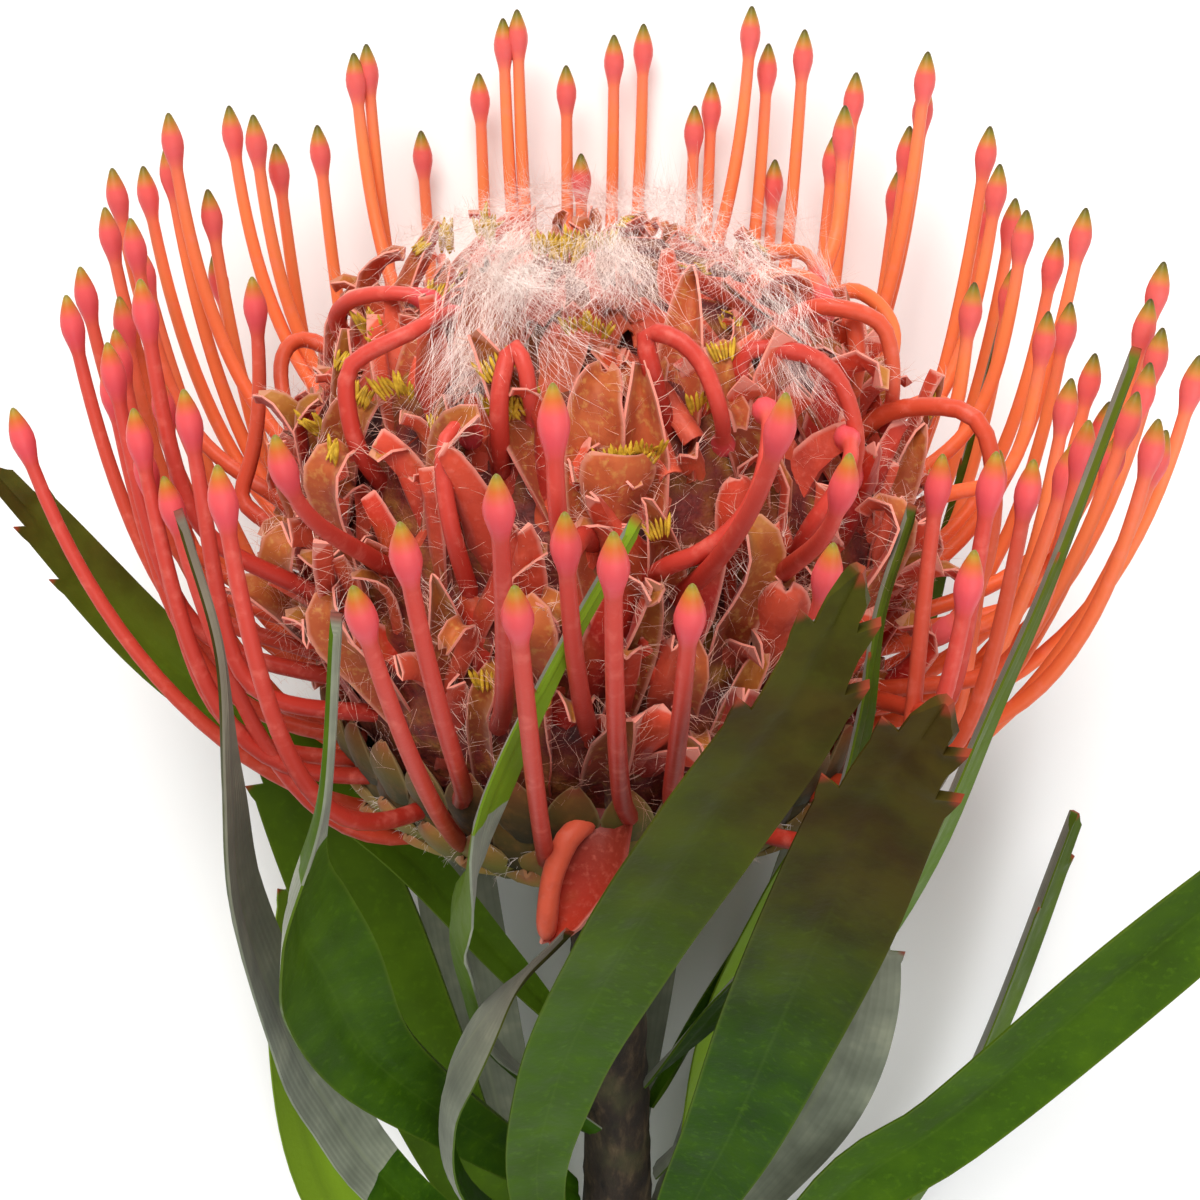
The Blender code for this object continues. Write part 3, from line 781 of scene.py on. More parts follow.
# Styles whose tips are still caught: points over the dome, from the root to the tucked-in tip.
LOOPED_STYLES = (
    ((13.5, 2, 49), (14, 0, 51.3), (17.3, -2, 52.2), (19.3, -4, 51.4), (20, -3, 47)),
    ((14, 8, 48), (15.4, 8, 51.6), (18.6, 6, 52.5), (20, 5, 50.7), (19.5, 6, 46.5)),
    ((12, -8, 47), (14.2, -10, 49), (17.4, -11, 51.5), (20.2, -12, 51.8), (23.2, -12, 50.7),
     (24.4, -12, 48.2), (25, -11, 43.7), (25, -8, 39)),
    ((12.8, -16, 41), (11.8, -19.5, 46.5), (11.4, -20, 50.3), (15.5, -20, 50.4),
     (18.1, -20, 49.1), (19.8, -20, 46.5), (21, -19, 42), (21, -14, 36)),
    ((21.2, -8, 47), (21.3, -10, 50.5), (21.8, -11, 47), (21.8, -9, 43), (21.5, -5, 39)),
    ((22, -10, 39.5), (24.2, -12, 42.7), (27.7, -14, 44), (30.5, -16, 44), (32.2, -17, 41.6),
     (33.2, -17, 35), (32.5, -15.5, 27), (29, -13, 21)),
    ((5.4, -21, 44), (4, -23, 49.8), (3.6, -22, 52.3), (5.7, -23.2, 52.4), (7.6, -24, 50.9),
     (8.8, -25, 48.5), (9.6, -24, 45.5), (10, -18, 41)),
    ((-17, -14, 35), (-19.5, -19, 41.4), (-20.4, -19, 45.8), (-20.2, -18.4, 48.4),
     (-18.7, -18, 49.7), (-15, -17.6, 51.4), (-12.7, -13.5, 51.7), (-12, -8, 49.5)),
    ((-7.8, -21, 39), (-7.8, -25, 45.6), (-7.6, -25, 49.2), (-6.8, -23, 51.6),
     (-5.8, -24.2, 50.5), (-5.4, -24, 47.5), (-5, -19, 42.5)),
    ((-10, -21, 27), (-11.3, -27.2, 36.7), (-12, -27.4, 41.8), (-11.9, -26.4, 45),
     (-10.7, -24, 45.6), (-10.2, -18.5, 42)),
    ((3, -23, 31.5), (5.3, -29.4, 36), (7.7, -30.6, 37.6), (10.6, -31, 40.4),
     (12.2, -30, 43.5), (12.9, -27, 46.6), (12.8, -21, 46.5)),
    ((16, -21, 33), (16.8, -25.6, 38), (18.6, -26, 41.2), (19.8, -23.6, 43.2), (20, -17, 43)),
    ((-20, -4, 45), (-23, -5, 48.6), (-21, -8, 51.6), (-16, -10, 52.5), (-12, -8, 50)),
    ((-22, 6, 41), (-28, 7, 44), (-30, 4, 42), (-28, 0, 35), (-24, -2, 31)),
    ((6, 17, 50), (8, 22, 51), (12, 24, 47.5), (12, 21, 40)),
    ((20, 12, 45), (25, 14, 47), (29, 13, 43), (27, 10, 35)),
)


def smooth_route(points, steps=ROUTE_STEPS):
    corners = [in_flower(point) for point in points]
    return [catmull_rom(corners, t) for t in evenly(0, 1, steps)]


def make_styles(material):
    template = straight_style()
    for number, style in enumerate(STYLES + MORE_STYLES, 1):
        stands_for = [f"style_{number:02d}"] if number <= len(STYLES) else []
        add_style(template, f"pin_{number:02d}", rested_route(*style), material, *stands_for)
    for number, points in enumerate(LOOPED_STYLES, 1):
        add_style(template, f"looped_pin_{number:02d}", smooth_route(points), material)
    throw_away(template)


# ---- Leaves ----

BLADE_LENGTH = 100.0
BLADE_WIDTH = 10.0
BLADE_COLUMNS = 8
# Rows are wide apart on the plain part of a blade and close together among its teeth.
PLAIN_ROWS, TOOTHED_ROWS, TOOTHED_FROM = 26, 46, 0.74
# The teeth of each kind of blade: (side, share of the length, how far the margin steps in).
BLADE_TEETH = {
    "shouldered": ((1, 0.915, 0.74), (-1, 0.935, 0.72), (-1, 0.975, 0.62), (1, 0.978, 0.6)),
    "one_sided": ((1, 0.86, 0.8), (1, 0.93, 0.66), (-1, 0.955, 0.62)),
    "forked": ((1, 0.9, 0.62), (-1, 0.945, 0.66)),
    "blunt": ((1, 0.955, 0.72), (-1, 0.965, 0.72)),
    "narrow": ((1, 0.85, 0.62),),
    "slender": (),
}
# Where a blade starts to run out to a thin tip, where it has done so, and what is left of it.
THIN_TIPS = {"narrow": (0.46, 0.94, 0.2), "slender": (0.66, 0.92, 0.07)}
# Leaves whose downy side lies uppermost, and the stretch of their length where it does.
TWISTED_OVER = {2: (0.3, 1.1), 3: (0.8, 1.1), 5: (-0.1, 0.72)}
MIDRIB_CREASE = 0.12
# How far a tooth's point is drawn forwards, outwards and up, and how wide its callus is.
TOOTH_DRAWN = Vector((1.3, 0.35, 0.1))
CALLUS = 1.9


def blade_half_width(t):
    """Half the blade's width at t: narrow at the base, widest past the middle, then blunt."""
    swell = math.sin(math.pi * min(t / BLADE_WIDEST, 1.0) / 2) ** 1.2
    taper = 1 - BLADE_TIP_LOSS * max(0.0, (t - BLADE_WIDEST) / (1 - BLADE_WIDEST)) ** 2
    return BLADE_WIDTH / 2 * (BLADE_BASE + (1 - BLADE_BASE) * swell) * taper


def kept_width(kind, t):
    """How much of its width a blade keeps at t, where it runs out to a thin tip."""
    if kind not in THIN_TIPS:
        return 1.0
    start, end, left = THIN_TIPS[kind]
    share = clamped((t - start) / (end - start))
    return 1 - (1 - left) * share * share * (3 - 2 * share)


def flat_blade(kind):
    """A flat blade lying along X: a cupped strip drawn out row by row, then cut with teeth."""
    rows = evenly(0, TOOTHED_FROM, PLAIN_ROWS)[1:] + evenly(TOOTHED_FROM, 1, TOOTHED_ROWS)[1:]
    base = blade_half_width(0)
    blade = strip(f"{kind}_blade", BLADE_COLUMNS, rows[0] * BLADE_LENGTH, base,
                  lambda across: BLADE_CUP * base * across * across
                  - MIDRIB_CREASE * max(0.0, 1 - 4 * abs(across)))
    widening = blade_half_width(rows[0]) / base
    resize(1, widening, widening, (rows[0] * BLADE_LENGTH, 0, 0))
    for last, row in zip(rows, rows[1:]):
        extrude((row - last) * BLADE_LENGTH, 0, 0)
        widening = blade_half_width(row) / blade_half_width(last)
        widening *= kept_width(kind, row) / kept_width(kind, last)
        resize(1, widening, widening, (row * BLADE_LENGTH, 0, 0))
    round_apex(blade, kept_width(kind, 1.0))
    tips = [cut_tooth(blade, rows, *tooth) for tooth in BLADE_TEETH[kind]]
    end_edit()
    tips.append(max((v.co / MM for v in blade.data.vertices), key=lambda place: place.x))
    mark(blade, "along", lambda place: place.x / BLADE_LENGTH)
    mark(blade, "tooth", lambda place: max(
        max(0.0, 1 - (place - tip).length / CALLUS) for tip in tips))
    return blade


def round_apex(blade, kept):
    """Draws the middle of the last row forward, step by step, into the blunt tip."""
    for share, reach in ((0.75, 0.45), (0.5, 0.65), (0.25, 0.5)):
        half = blade_half_width(1.0) * kept * share
        select_where(blade, lambda place: place.x > (BLADE_LENGTH - 0.2) * MM
                     and abs(place.y) < (half + 0.05) * MM)
        move(reach, 0, 0)


def cut_tooth(blade, rows, side, share, step_in):
    """Steps the margin in beyond a tooth and draws the tooth forward. Gives the tooth's tip."""
    nearest = min(range(len(rows)), key=lambda number: abs(rows[number] - share))
    before, row = rows[nearest - 1] * BLADE_LENGTH, rows[nearest] * BLADE_LENGTH
    select_where(blade, lambda place: place.x > (row + 0.05) * MM and place.y * side > 0)
    resize(1, step_in, 1, (0, 0, 0))
    shape = bmesh.from_edit_mesh(blade.data)
    edge = max((v.co.copy() for v in shape.verts if abs(v.co.x / MM - row) < 0.05),
               key=lambda place: place.y * side)
    drawn = TOOTH_DRAWN * Vector((1, side, 1))
    select_where(blade, lambda place: (place - edge).length < 0.05 * MM)
    move(*drawn)
    select_where(blade, lambda place: abs(place.x / MM - before) < 0.05
                 and place.y * side > (abs(edge.y) * 0.97 - 0.1 * MM))
    move(0.3, 0.2 * side, 0)
    return edge / MM + drawn


def whole_midrib(azimuth, height, points):
    """The midrib's places and rolls in the flower, with the base added, flat against the stem."""
    outward = Vector((math.cos(math.radians(azimuth)), math.sin(math.radians(azimuth)), 0))
    stem_middle, stem_radius = stem_at(height)
    off_axis = stem_radius + SEAT_GAP + LEAF_THICKNESS / 2
    base = Vector((stem_middle, 0, height)) + outward * off_axis
    places = [base] + [Vector(p[:3]) for p in points]
    tangent = (places[1] - places[0]).normalized()
    upward = Vector((0, -math.cos(LYING_TILT), math.sin(LYING_TILT)))
    level = (upward - tangent * upward.dot(tangent)).normalized()
    against = (outward - tangent * outward.dot(tangent)).normalized()
    roll = math.degrees(math.atan2(tangent.dot(level.cross(against)), level.dot(against)))
    roll += 180 * round((points[0][3] - roll) / 180)
    return places, [roll] + [float(p[3]) for p in points]


LEAF_STEPS = 70
# What share of its thickness a leaf keeps at its margin and at its tip, and where it thins.
MARGIN_THICKNESS, TIP_THICKNESS = 0.45, 0.25
THINS_FROM, THINS_OVER = 0.5, 0.45


def make_leaf(blade, name, leaf):
    """A copy of a flat blade at a leaf's width and length, bent along its midrib and thickened."""
    width, azimuth, height, points, kind, bronze, yellow = leaf
    places, rolls = whole_midrib(azimuth, height, points)
    shares = evenly(0, 1, LEAF_STEPS)
    route = [FLOWER @ (catmull_rom(places, t) * MM) for t in shares]
    length = chain_length(route) / MM
    piece = copy_of(blade, name)
    start_edit(piece)
    resize(length / BLADE_LENGTH, width / BLADE_WIDTH, width / BLADE_WIDTH, (0, 0, 0))
    end_edit()
    mark(piece, "bronze", lambda place: bronze)
    fades = 1.4 if kind in THIN_TIPS else 0
    mark(piece, "yellow", lambda place: yellow * max(0.0, place.x / length) ** fades)
    bend_along(piece, route, [catmull_rom(rolls, t) for t in shares])
    fleshy = piece.vertex_groups.new(name="fleshy")
    across, along = (piece.data.attributes[name].data for name in ("across", "along"))
    for index in range(len(piece.data.vertices)):
        at_margin = abs(across[index].value) > 0.95
        thinning = clamped((along[index].value - THINS_FROM) / THINS_OVER)
        fleshy.add([index], (MARGIN_THICKNESS if at_margin else 1.0)
                   * (1 - (1 - TIP_THICKNESS) * thinning), "REPLACE")
    apply_modifier(piece, "SOLIDIFY", thickness=LEAF_THICKNESS * MM, offset=0,
                   vertex_group="fleshy", material_offset=1, use_even_offset=True)
    smooth(piece, 50)
    return piece


def turn_over(piece, low, high):
    """Swaps the two faces of a leaf along a stretch where its blade is twisted over."""
    along = piece.data.attributes["along"].data
    for face in piece.data.polygons:
        middle = sum(along[v].value for v in face.vertices) / len(face.vertices)
        if low <= middle <= high:
            face.material_index = 1 - face.material_index


def make_leaves(materials):
    blades = {kind: flat_blade(kind) for kind in BLADE_TEETH}
    for blade in blades.values():
        for material in materials:
            blade.data.materials.append(material)
    for number, leaf in enumerate(LEAVES, 1):
        piece = make_leaf(blades[leaf[4]], f"toothed_leaf_{number:02d}", leaf)
        if number in TWISTED_OVER:
            turn_over(piece, *TWISTED_OVER[number])
        finish_piece(piece, "leaf", f"leaf_{number:02d}")
    throw_away(*blades.values())


# ---- Stem ----

def turned(name, profile, sides):
    """A closed solid drawn up ring by ring: the profile is (sideways, height, radius)."""
    sideways, height, radius = profile[0]
    bpy.ops.mesh.primitive_circle_add(vertices=sides, radius=radius * MM, fill_type="NGON",
                                      location=(sideways * MM, 0, height * MM))
    piece = named(bpy.context.object, name)
    bpy.ops.object.transform_apply(location=True, rotation=False, scale=False)
    start_edit(piece)
    for next_sideways, next_height, next_radius in profile[1:]:
        extrude(next_sideways - sideways, 0, next_height - height)
        growth = next_radius / radius
        resize(growth, growth, 1, (next_sideways, 0, next_height))
        sideways, height, radius = next_sideways, next_height, next_radius
    bpy.ops.mesh.select_all(action="SELECT")
    bpy.ops.mesh.normals_make_consistent(inside=False)
    end_edit()
    return piece


def crumple(piece, name, size_mm, strength_mm, depth=2, **settings):
    """Pushes a piece's surface in and out by cloudy noise."""
    texture = bpy.data.textures.new(name, "CLOUDS")
    texture.noise_scale = size_mm * MM
    texture.noise_depth = depth
    apply_modifier(piece, "DISPLACE", texture=texture, strength=strength_mm * MM,
                   texture_coords="LOCAL", **settings)


STEM_RINGS = 90
STEM_SIDES = 32
# The bark's knots and grain: size, depth of noise and height. Above this height there are none.
BARK_RELIEF = (("knots", 9.0, 2, 1.3), ("bark_grain", 2.2, 4, 0.7))
BARK_UP_TO = -10


def make_stem(bark, cut_wood):
    """The woody stem: knobbly bark, and a pale cut end."""
    low, high = STEM_PROFILE[0][1], STEM_PROFILE[-1][1]
    profile = []
    for height in evenly(low, high, STEM_RINGS):
        sideways, radius = stem_at(height)
        profile.append((sideways, height, radius))
    stem = turned("woody_stem", profile, STEM_SIDES)
    stem.data.materials.append(bark)
    stem.data.materials.append(cut_wood)
    start_edit(stem)
    bpy.ops.mesh.select_mode(type="FACE")
    shape = bmesh.from_edit_mesh(stem.data)
    for face in shape.faces:
        face.select = face.normal.z < -0.9
        if face.select:
            face.material_index = 1
    bmesh.update_edit_mesh(stem.data)
    for inset in (0.5, 1.1, 1.1):
        bpy.ops.mesh.inset(thickness=inset * MM, depth=0)
    end_edit()
    centre = Vector((profile[0][0], 0, low))
    mark(stem, "radial", lambda place: (place - centre).length / STEM_RADIUS)
    grip = stem.vertex_groups.new(name="bark")
    for vertex in stem.data.vertices:
        barked = low + 0.1 <= vertex.co.z / MM <= BARK_UP_TO
        grip.add([vertex.index], 1.0 if barked else 0.0, "REPLACE")
    for name, size, depth, strength in BARK_RELIEF:
        crumple(stem, name, size, strength, depth, mid_level=0.62, vertex_group="bark")
    stem.data.transform(FLOWER)
    smooth(stem, 50)
    finish_piece(stem, "stem_bark", "stem")


# ---- Petals and hairs ----

# How far from the tip, in millimetres, a petal's pale rim reaches.
RIM_REACH = 1.6


def petal(name, width, stations, columns, hollow, materials):
    """A petal-like sheet lying along X, with its outside up.

    Each station is (length from the last one, share of the width, curl in degrees). Hollow is how
    far its margins hang below its middle.
    """
    first_step, share, _ = stations[0]
    piece = strip(name, columns, first_step, width / 2 * share,
                  lambda across: -hollow * across * across)
    heading, reached, lengths = 0.0, Vector((first_step, 0, 0)), [0.0, first_step]
    for step, next_share, curl in stations[1:]:
        heading += math.radians(curl)
        forward = Vector((math.cos(heading), 0, math.sin(heading))) * step
        reached = reached + forward
        extrude(*forward)
        bpy.ops.transform.rotate(value=math.radians(curl), orient_axis="Y",
                                 center_override=tuple(reached * MM))
        resize(1, next_share / share, 1, reached)
        share = next_share
        lengths.append(lengths[-1] + step)
    end_edit()
    along = piece.data.attributes.new("along", "FLOAT", "POINT")
    rim = piece.data.attributes.new("rim", "FLOAT", "POINT")
    across = piece.data.attributes["across"]
    for reach, row in zip(lengths, row_order(piece, columns)):
        for vertex in row:
            along.data[vertex].value = reach / lengths[-1]
            at_tip = max(0.0, 1 - (lengths[-1] - reach) / RIM_REACH)
            rim.data[vertex].value = max(abs(across.data[vertex].value), at_tip)
    for material in materials:
        piece.data.materials.append(material)
    return piece


def thicken(sheet, name, wall):
    """A solid copy of a sheet, with its second material, if it has one, on its underside."""
    piece = copy_of(sheet, name)
    apply_modifier(piece, "SOLIDIFY", thickness=wall * MM, offset=-1,
                   material_offset=len(sheet.data.materials) - 1)
    smooth(piece, 60)
    return piece


def row_order(piece, columns):
    """The petal's vertices row by row: the two rows of the grid, then each extruded row."""
    wide = columns + 1
    first = [v.index for v in piece.data.vertices if v.index < 2 * wide and v.co.x < 1e-7]
    second = [i for i in range(2 * wide) if i not in first]
    later = range(2 * wide, len(piece.data.vertices), wide)
    return [first, second] + [list(range(start, start + wide)) for start in later]


# The straps of a floret: width, hollow, and stations as (step, share of the width, curl). Each
# bends inwards as it rises, over the dome, and only its end rolls back.
STRAPS = {
    "hood": (4.4, 1.1, ((2.0, 0.60, 0), (2.6, 0.78, -4), (2.8, 0.92, -4), (2.8, 1.0, -4),
                        (2.6, 1.0, -3), (2.0, 0.97, 2), (1.4, 0.9, 20), (1.1, 0.76, 40),
                        (0.9, 0.55, 50), (0.7, 0.26, 50))),
    "shell": (4.6, 1.4, ((2.0, 0.6, 0), (2.8, 0.84, -4), (3.0, 0.97, -4), (3.0, 1.0, -4),
                         (2.4, 0.98, -5), (1.6, 0.88, -6), (1.1, 0.72, -8), (0.7, 0.5, -10),
                         (0.45, 0.2, -10))),
    "claw": (2.2, 0.7, ((2.0, 0.9, 0), (2.6, 0.95, -5), (2.8, 1.0, -5), (2.6, 1.0, -2),
                        (2.0, 1.0, 8), (1.5, 1.0, 26), (1.1, 0.95, 44), (0.9, 0.85, 54),
                        (0.8, 0.5, 54))),
    "spear": (3.8, 1.4, ((2.0, 0.7, 0), (2.8, 0.9, -4), (3.0, 1.0, -4), (2.8, 0.96, -3),
                         (2.4, 0.82, -1), (2.0, 0.62, 2), (1.5, 0.38, 4), (1.1, 0.14, 6))),
    "fold": (4.0, 2.2, ((2.0, 0.7, 0), (2.6, 0.92, -4), (2.6, 1.0, -2), (2.4, 0.95, 4),
                        (2.0, 0.82, 10), (1.6, 0.62, 18), (1.3, 0.4, 18), (0.9, 0.14, 10))),
    "cup": (7.6, 2.2, ((2.0, 0.5, 0), (2.0, 0.7, -2), (2.0, 0.88, -4), (1.8, 1.0, -8),
                       (1.4, 1.0, -11), (1.0, 0.94, -10), (0.8, 0.84, -6),
                       (0.5, 0.68, -4))),
}
# Each strap is made in versions: twist along it, sideways bend, share of its curl.
STRAP_VERSIONS = ((-30, 14, 0.45), (8, -12, 0.8), (30, 8, 1.1))
STRAP_COLUMNS = 4
STRAP_WALL = 0.2


def strap_sheet(kind, version, materials):
    """An open strap, crumpled a little, twisted and bent sideways."""
    width, hollow, stations = STRAPS[kind]
    twist, bend, curl_share = STRAP_VERSIONS[version]
    stations = [(step, share, curl * curl_share) for step, share, curl in stations]
    sheet = petal(f"{kind}_{version}", width, stations, STRAP_COLUMNS, hollow, materials)
    crumple(sheet, "crumple", 3.0 + version, 1.1)
    for method, axis, angle in (("TWIST", "X", twist), ("BEND", "Z", bend)):
        apply_modifier(sheet, "SIMPLE_DEFORM", deform_method=method, deform_axis=axis,
                       angle=math.radians(angle))
    return sheet


# Each kind of hair: length, thickness, curl in degrees, and how many steps it is drawn in.
HAIRS = {"perianth": (1.8, 0.04, 40, 3), "wool": (7.0, 0.024, 30, 3),
         "down": (3.0, 0.022, 50, 2), "bract": (1.2, 0.035, 30, 2)}
# How many hairs line each margin of a strap and of a bract.
STRAP_FRINGE, BRACT_FRINGE = 24, 12
# Tufts: how many hairs each has, and how far they fan out, in radians.
WOOL_TUFT = (120, 0.2)
DOWN_TUFT = (16, 1.2)
TUFT_KINDS = 3


def one_hair(length, thickness, curl, steps):
    """A fine hair that starts along X and curls upwards, three-sided and pointed."""
    hair = start_disc("one_hair", 3, thickness / 2)
    heading, step, size = 0.0, length / steps, 1.0
    for number in range(1, steps + 1):
        heading += math.radians(curl) / steps
        extrude(math.cos(heading) * step, 0, math.sin(heading) * step)
        shrink = math.sqrt(1 - (number / steps) ** 2 * 0.9) / size
        bpy.ops.transform.resize(value=(shrink,) * 3)
        size *= shrink
    end_edit()
    return hair


def turned_to(place, yaw, pitch, roll=0.0, size=1.0):
    """A local matrix: at a place in millimetres, turned by yaw, raised by pitch, and rolled."""
    return (Matrix.Translation(Vector(place) * MM) @ Matrix.Rotation(yaw, 4, "Z")
            @ Matrix.Rotation(-pitch, 4, "Y") @ Matrix.Rotation(roll, 4, "X")
            @ Matrix.Scale(size, 4))


def margins_of(strap, columns):
    """A pair of places on the margins for each row of an open strap, from base to tip."""
    across = strap.data.attributes["across"].data
    found = []
    for row in row_order(strap, columns):
        ends = sorted(row, key=lambda index: across[index].value)
        found.append([strap.data.vertices[index].co / MM for index in (ends[0], ends[-1])])
    return found


def fringe(margins, hair, dice, a_side):
    """Silky hairs that stand off both margins of a strap, mostly towards its tip."""
    hairs = []
    for side, end in ((-1, 0), (1, 1)):
        chain = [pair[end] for pair in margins]
        for _ in range(a_side):
            place = catmull_rom(chain, dice.uniform(0.25, 1.0))
            yaw = side * math.radians(dice.uniform(20, 80))
            hairs.append((hair, turned_to(place, yaw, math.radians(dice.uniform(-10, 50)),
                                          dice.uniform(-1.5, 1.5), dice.uniform(0.5, 1.2))))
    return strewn("fringe", hairs)


def tufts_of(hair, count, spread, dice):
    """A few kinds of tuft, each of silky hairs that stream one way from a small patch."""
    tufts = []
    for _ in range(TUFT_KINDS):
        hairs = []
        for _ in range(count):
            place = (dice.uniform(-4.5, 2.5), dice.gauss(0, 1.5), dice.uniform(-0.4, 0.8))
            hairs.append((hair, turned_to(place, dice.gauss(0, spread),
                                          dice.uniform(-0.15, 0.18), dice.uniform(-2.2, 2.2),
                                          dice.uniform(0.45, 1.2))))
        tufts.append(strewn("tuft", hairs))
    return tufts


WALK_STEPS = 400


def head_walk(low, high, count):
    """Spirals up the head between two heights, one place for each equal share of its surface."""
    heights = evenly(low, high, WALK_STEPS)
    walk, area = [], 0.0
    for start, end in zip(heights, heights[1:]):
        r0, r1 = head_radius_at(start), head_radius_at(end)
        slope = Vector((r1 - r0, end - start))
        area += (r0 + r1) / 2 * slope.length
        walk.append((area, (r0 + r1) / 2, (start + end) / 2, slope.normalized()))
    for number in range(count):
        wanted = area * (number + 0.5) / count
        _, radius, height, slope = next(row for row in walk if row[0] >= wanted)
        yield number * GOLDEN_ANGLE, radius, height, slope


def head_matrix(azimuth, radius, height, slope, yaw=0.0, lean=0.0, roll=0.0, reach=0.0,
                sink=0.0, aside=0.0, size=1.0):
    """World matrix for a piece on the head: its X runs up the head, its Z stands off it.

    Yaw swings it on the surface, lean tips it outwards by degrees, roll turns it about itself;
    reach is how far its origin lies back along it, sink how deep, and aside how far to the side.
    """
    out = Vector((math.cos(azimuth), math.sin(azimuth), 0))
    up = out * slope.x + Vector((0, 0, slope.y))
    normal = out * slope.y - Vector((0, 0, slope.x))
    surface = Matrix((up, normal.cross(up), normal)).transposed()
    turn = surface @ Matrix.Rotation(yaw, 3, "Z")
    middle = out * radius + Vector((0, 0, height)) - normal * sink + turn.col[1] * aside
    turn = (turn @ Matrix.Rotation(-math.radians(lean), 3, "Y")
            @ Matrix.Rotation(roll, 3, "X"))
    middle -= turn.col[0] * reach
    return FLOWER @ Matrix.Translation(middle * MM) @ turn.to_4x4() @ Matrix.Scale(size, 4)


def on_head(azimuth, height, above, below, **pose):
    """head_matrix for an azimuth in degrees and a height on the head's outside."""
    return head_matrix(math.radians(azimuth), head_radius_at(height), height,
                       head_slope(height, above, below), **pose)


# ---- Florets ----

FLORETS = 128
DOWN_TUFTS = 340
HAIRS_TO = 57.0
# The florets cover the head between these heights, in rings that are pieces of their own.
FLORETS_FROM, FLORETS_TO = 15.0, 57.2
FLORET_RING_NAMES = ("lowest", "lower", "middle", "upper", "crown")
FLORET_RING_HEIGHT = 8.6
# Straps grow smaller and stand closer over the crown, and from lower down they are painted
# paler: painted light on the upper head, which faces the light.
CROWN_FROM, CROWN_OVER = 44, 13
PAINTED_LIGHT_FROM, PAINTED_LIGHT_OVER = 34, 36
# How far to the side of their floret the outer straps stand, and how often there is a third.
SECOND_STRAP, THIRD_STRAP = 2.9, 3.1
THIRD_STRAP_CHANCE = 0.6
# The anthers inside the cup: how far to the side each lies.
CUP_ANTHERS = (-2.2, -0.7, 0.8)
# Straps that stand out on the uppermost side: kind, version, azimuth and height of the tip, which
# way it leans on the surface, how far it is tipped outwards, and size.
OUTSTANDING_STRAPS = (
    ("shell", 1, 277, 50.5, 4, 26, 1.2), ("spear", 1, 290, 47.0, 14, 42, 1.45),
    ("shell", 0, 270, 46.2, 24, 32, 1.1), ("cup", 1, 272.5, 42.0, 0, 50, 0.8),
    ("shell", 2, 298, 44.0, -12, 30, 1.0), ("fold", 2, 301, 47.5, 24, 34, 1.1),
    ("fold", 1, 308, 45.5, 26, 32, 1.0), ("claw", 0, 290, 37.5, 14, 32, 1.0),
    ("claw", 1, 297, 34.5, 10, 34, 1.0), ("spear", 0, 303, 35.5, 26, 34, 1.0),
    ("shell", 1, 244, 30.0, 0, 30, 1.2), ("shell", 0, 279, 27.5, -3, 30, 1.15),
    ("hood", 0, 236, 44.0, -8, 30, 1.0), ("fold", 0, 249, 39.0, -14, 36, 0.95),
)


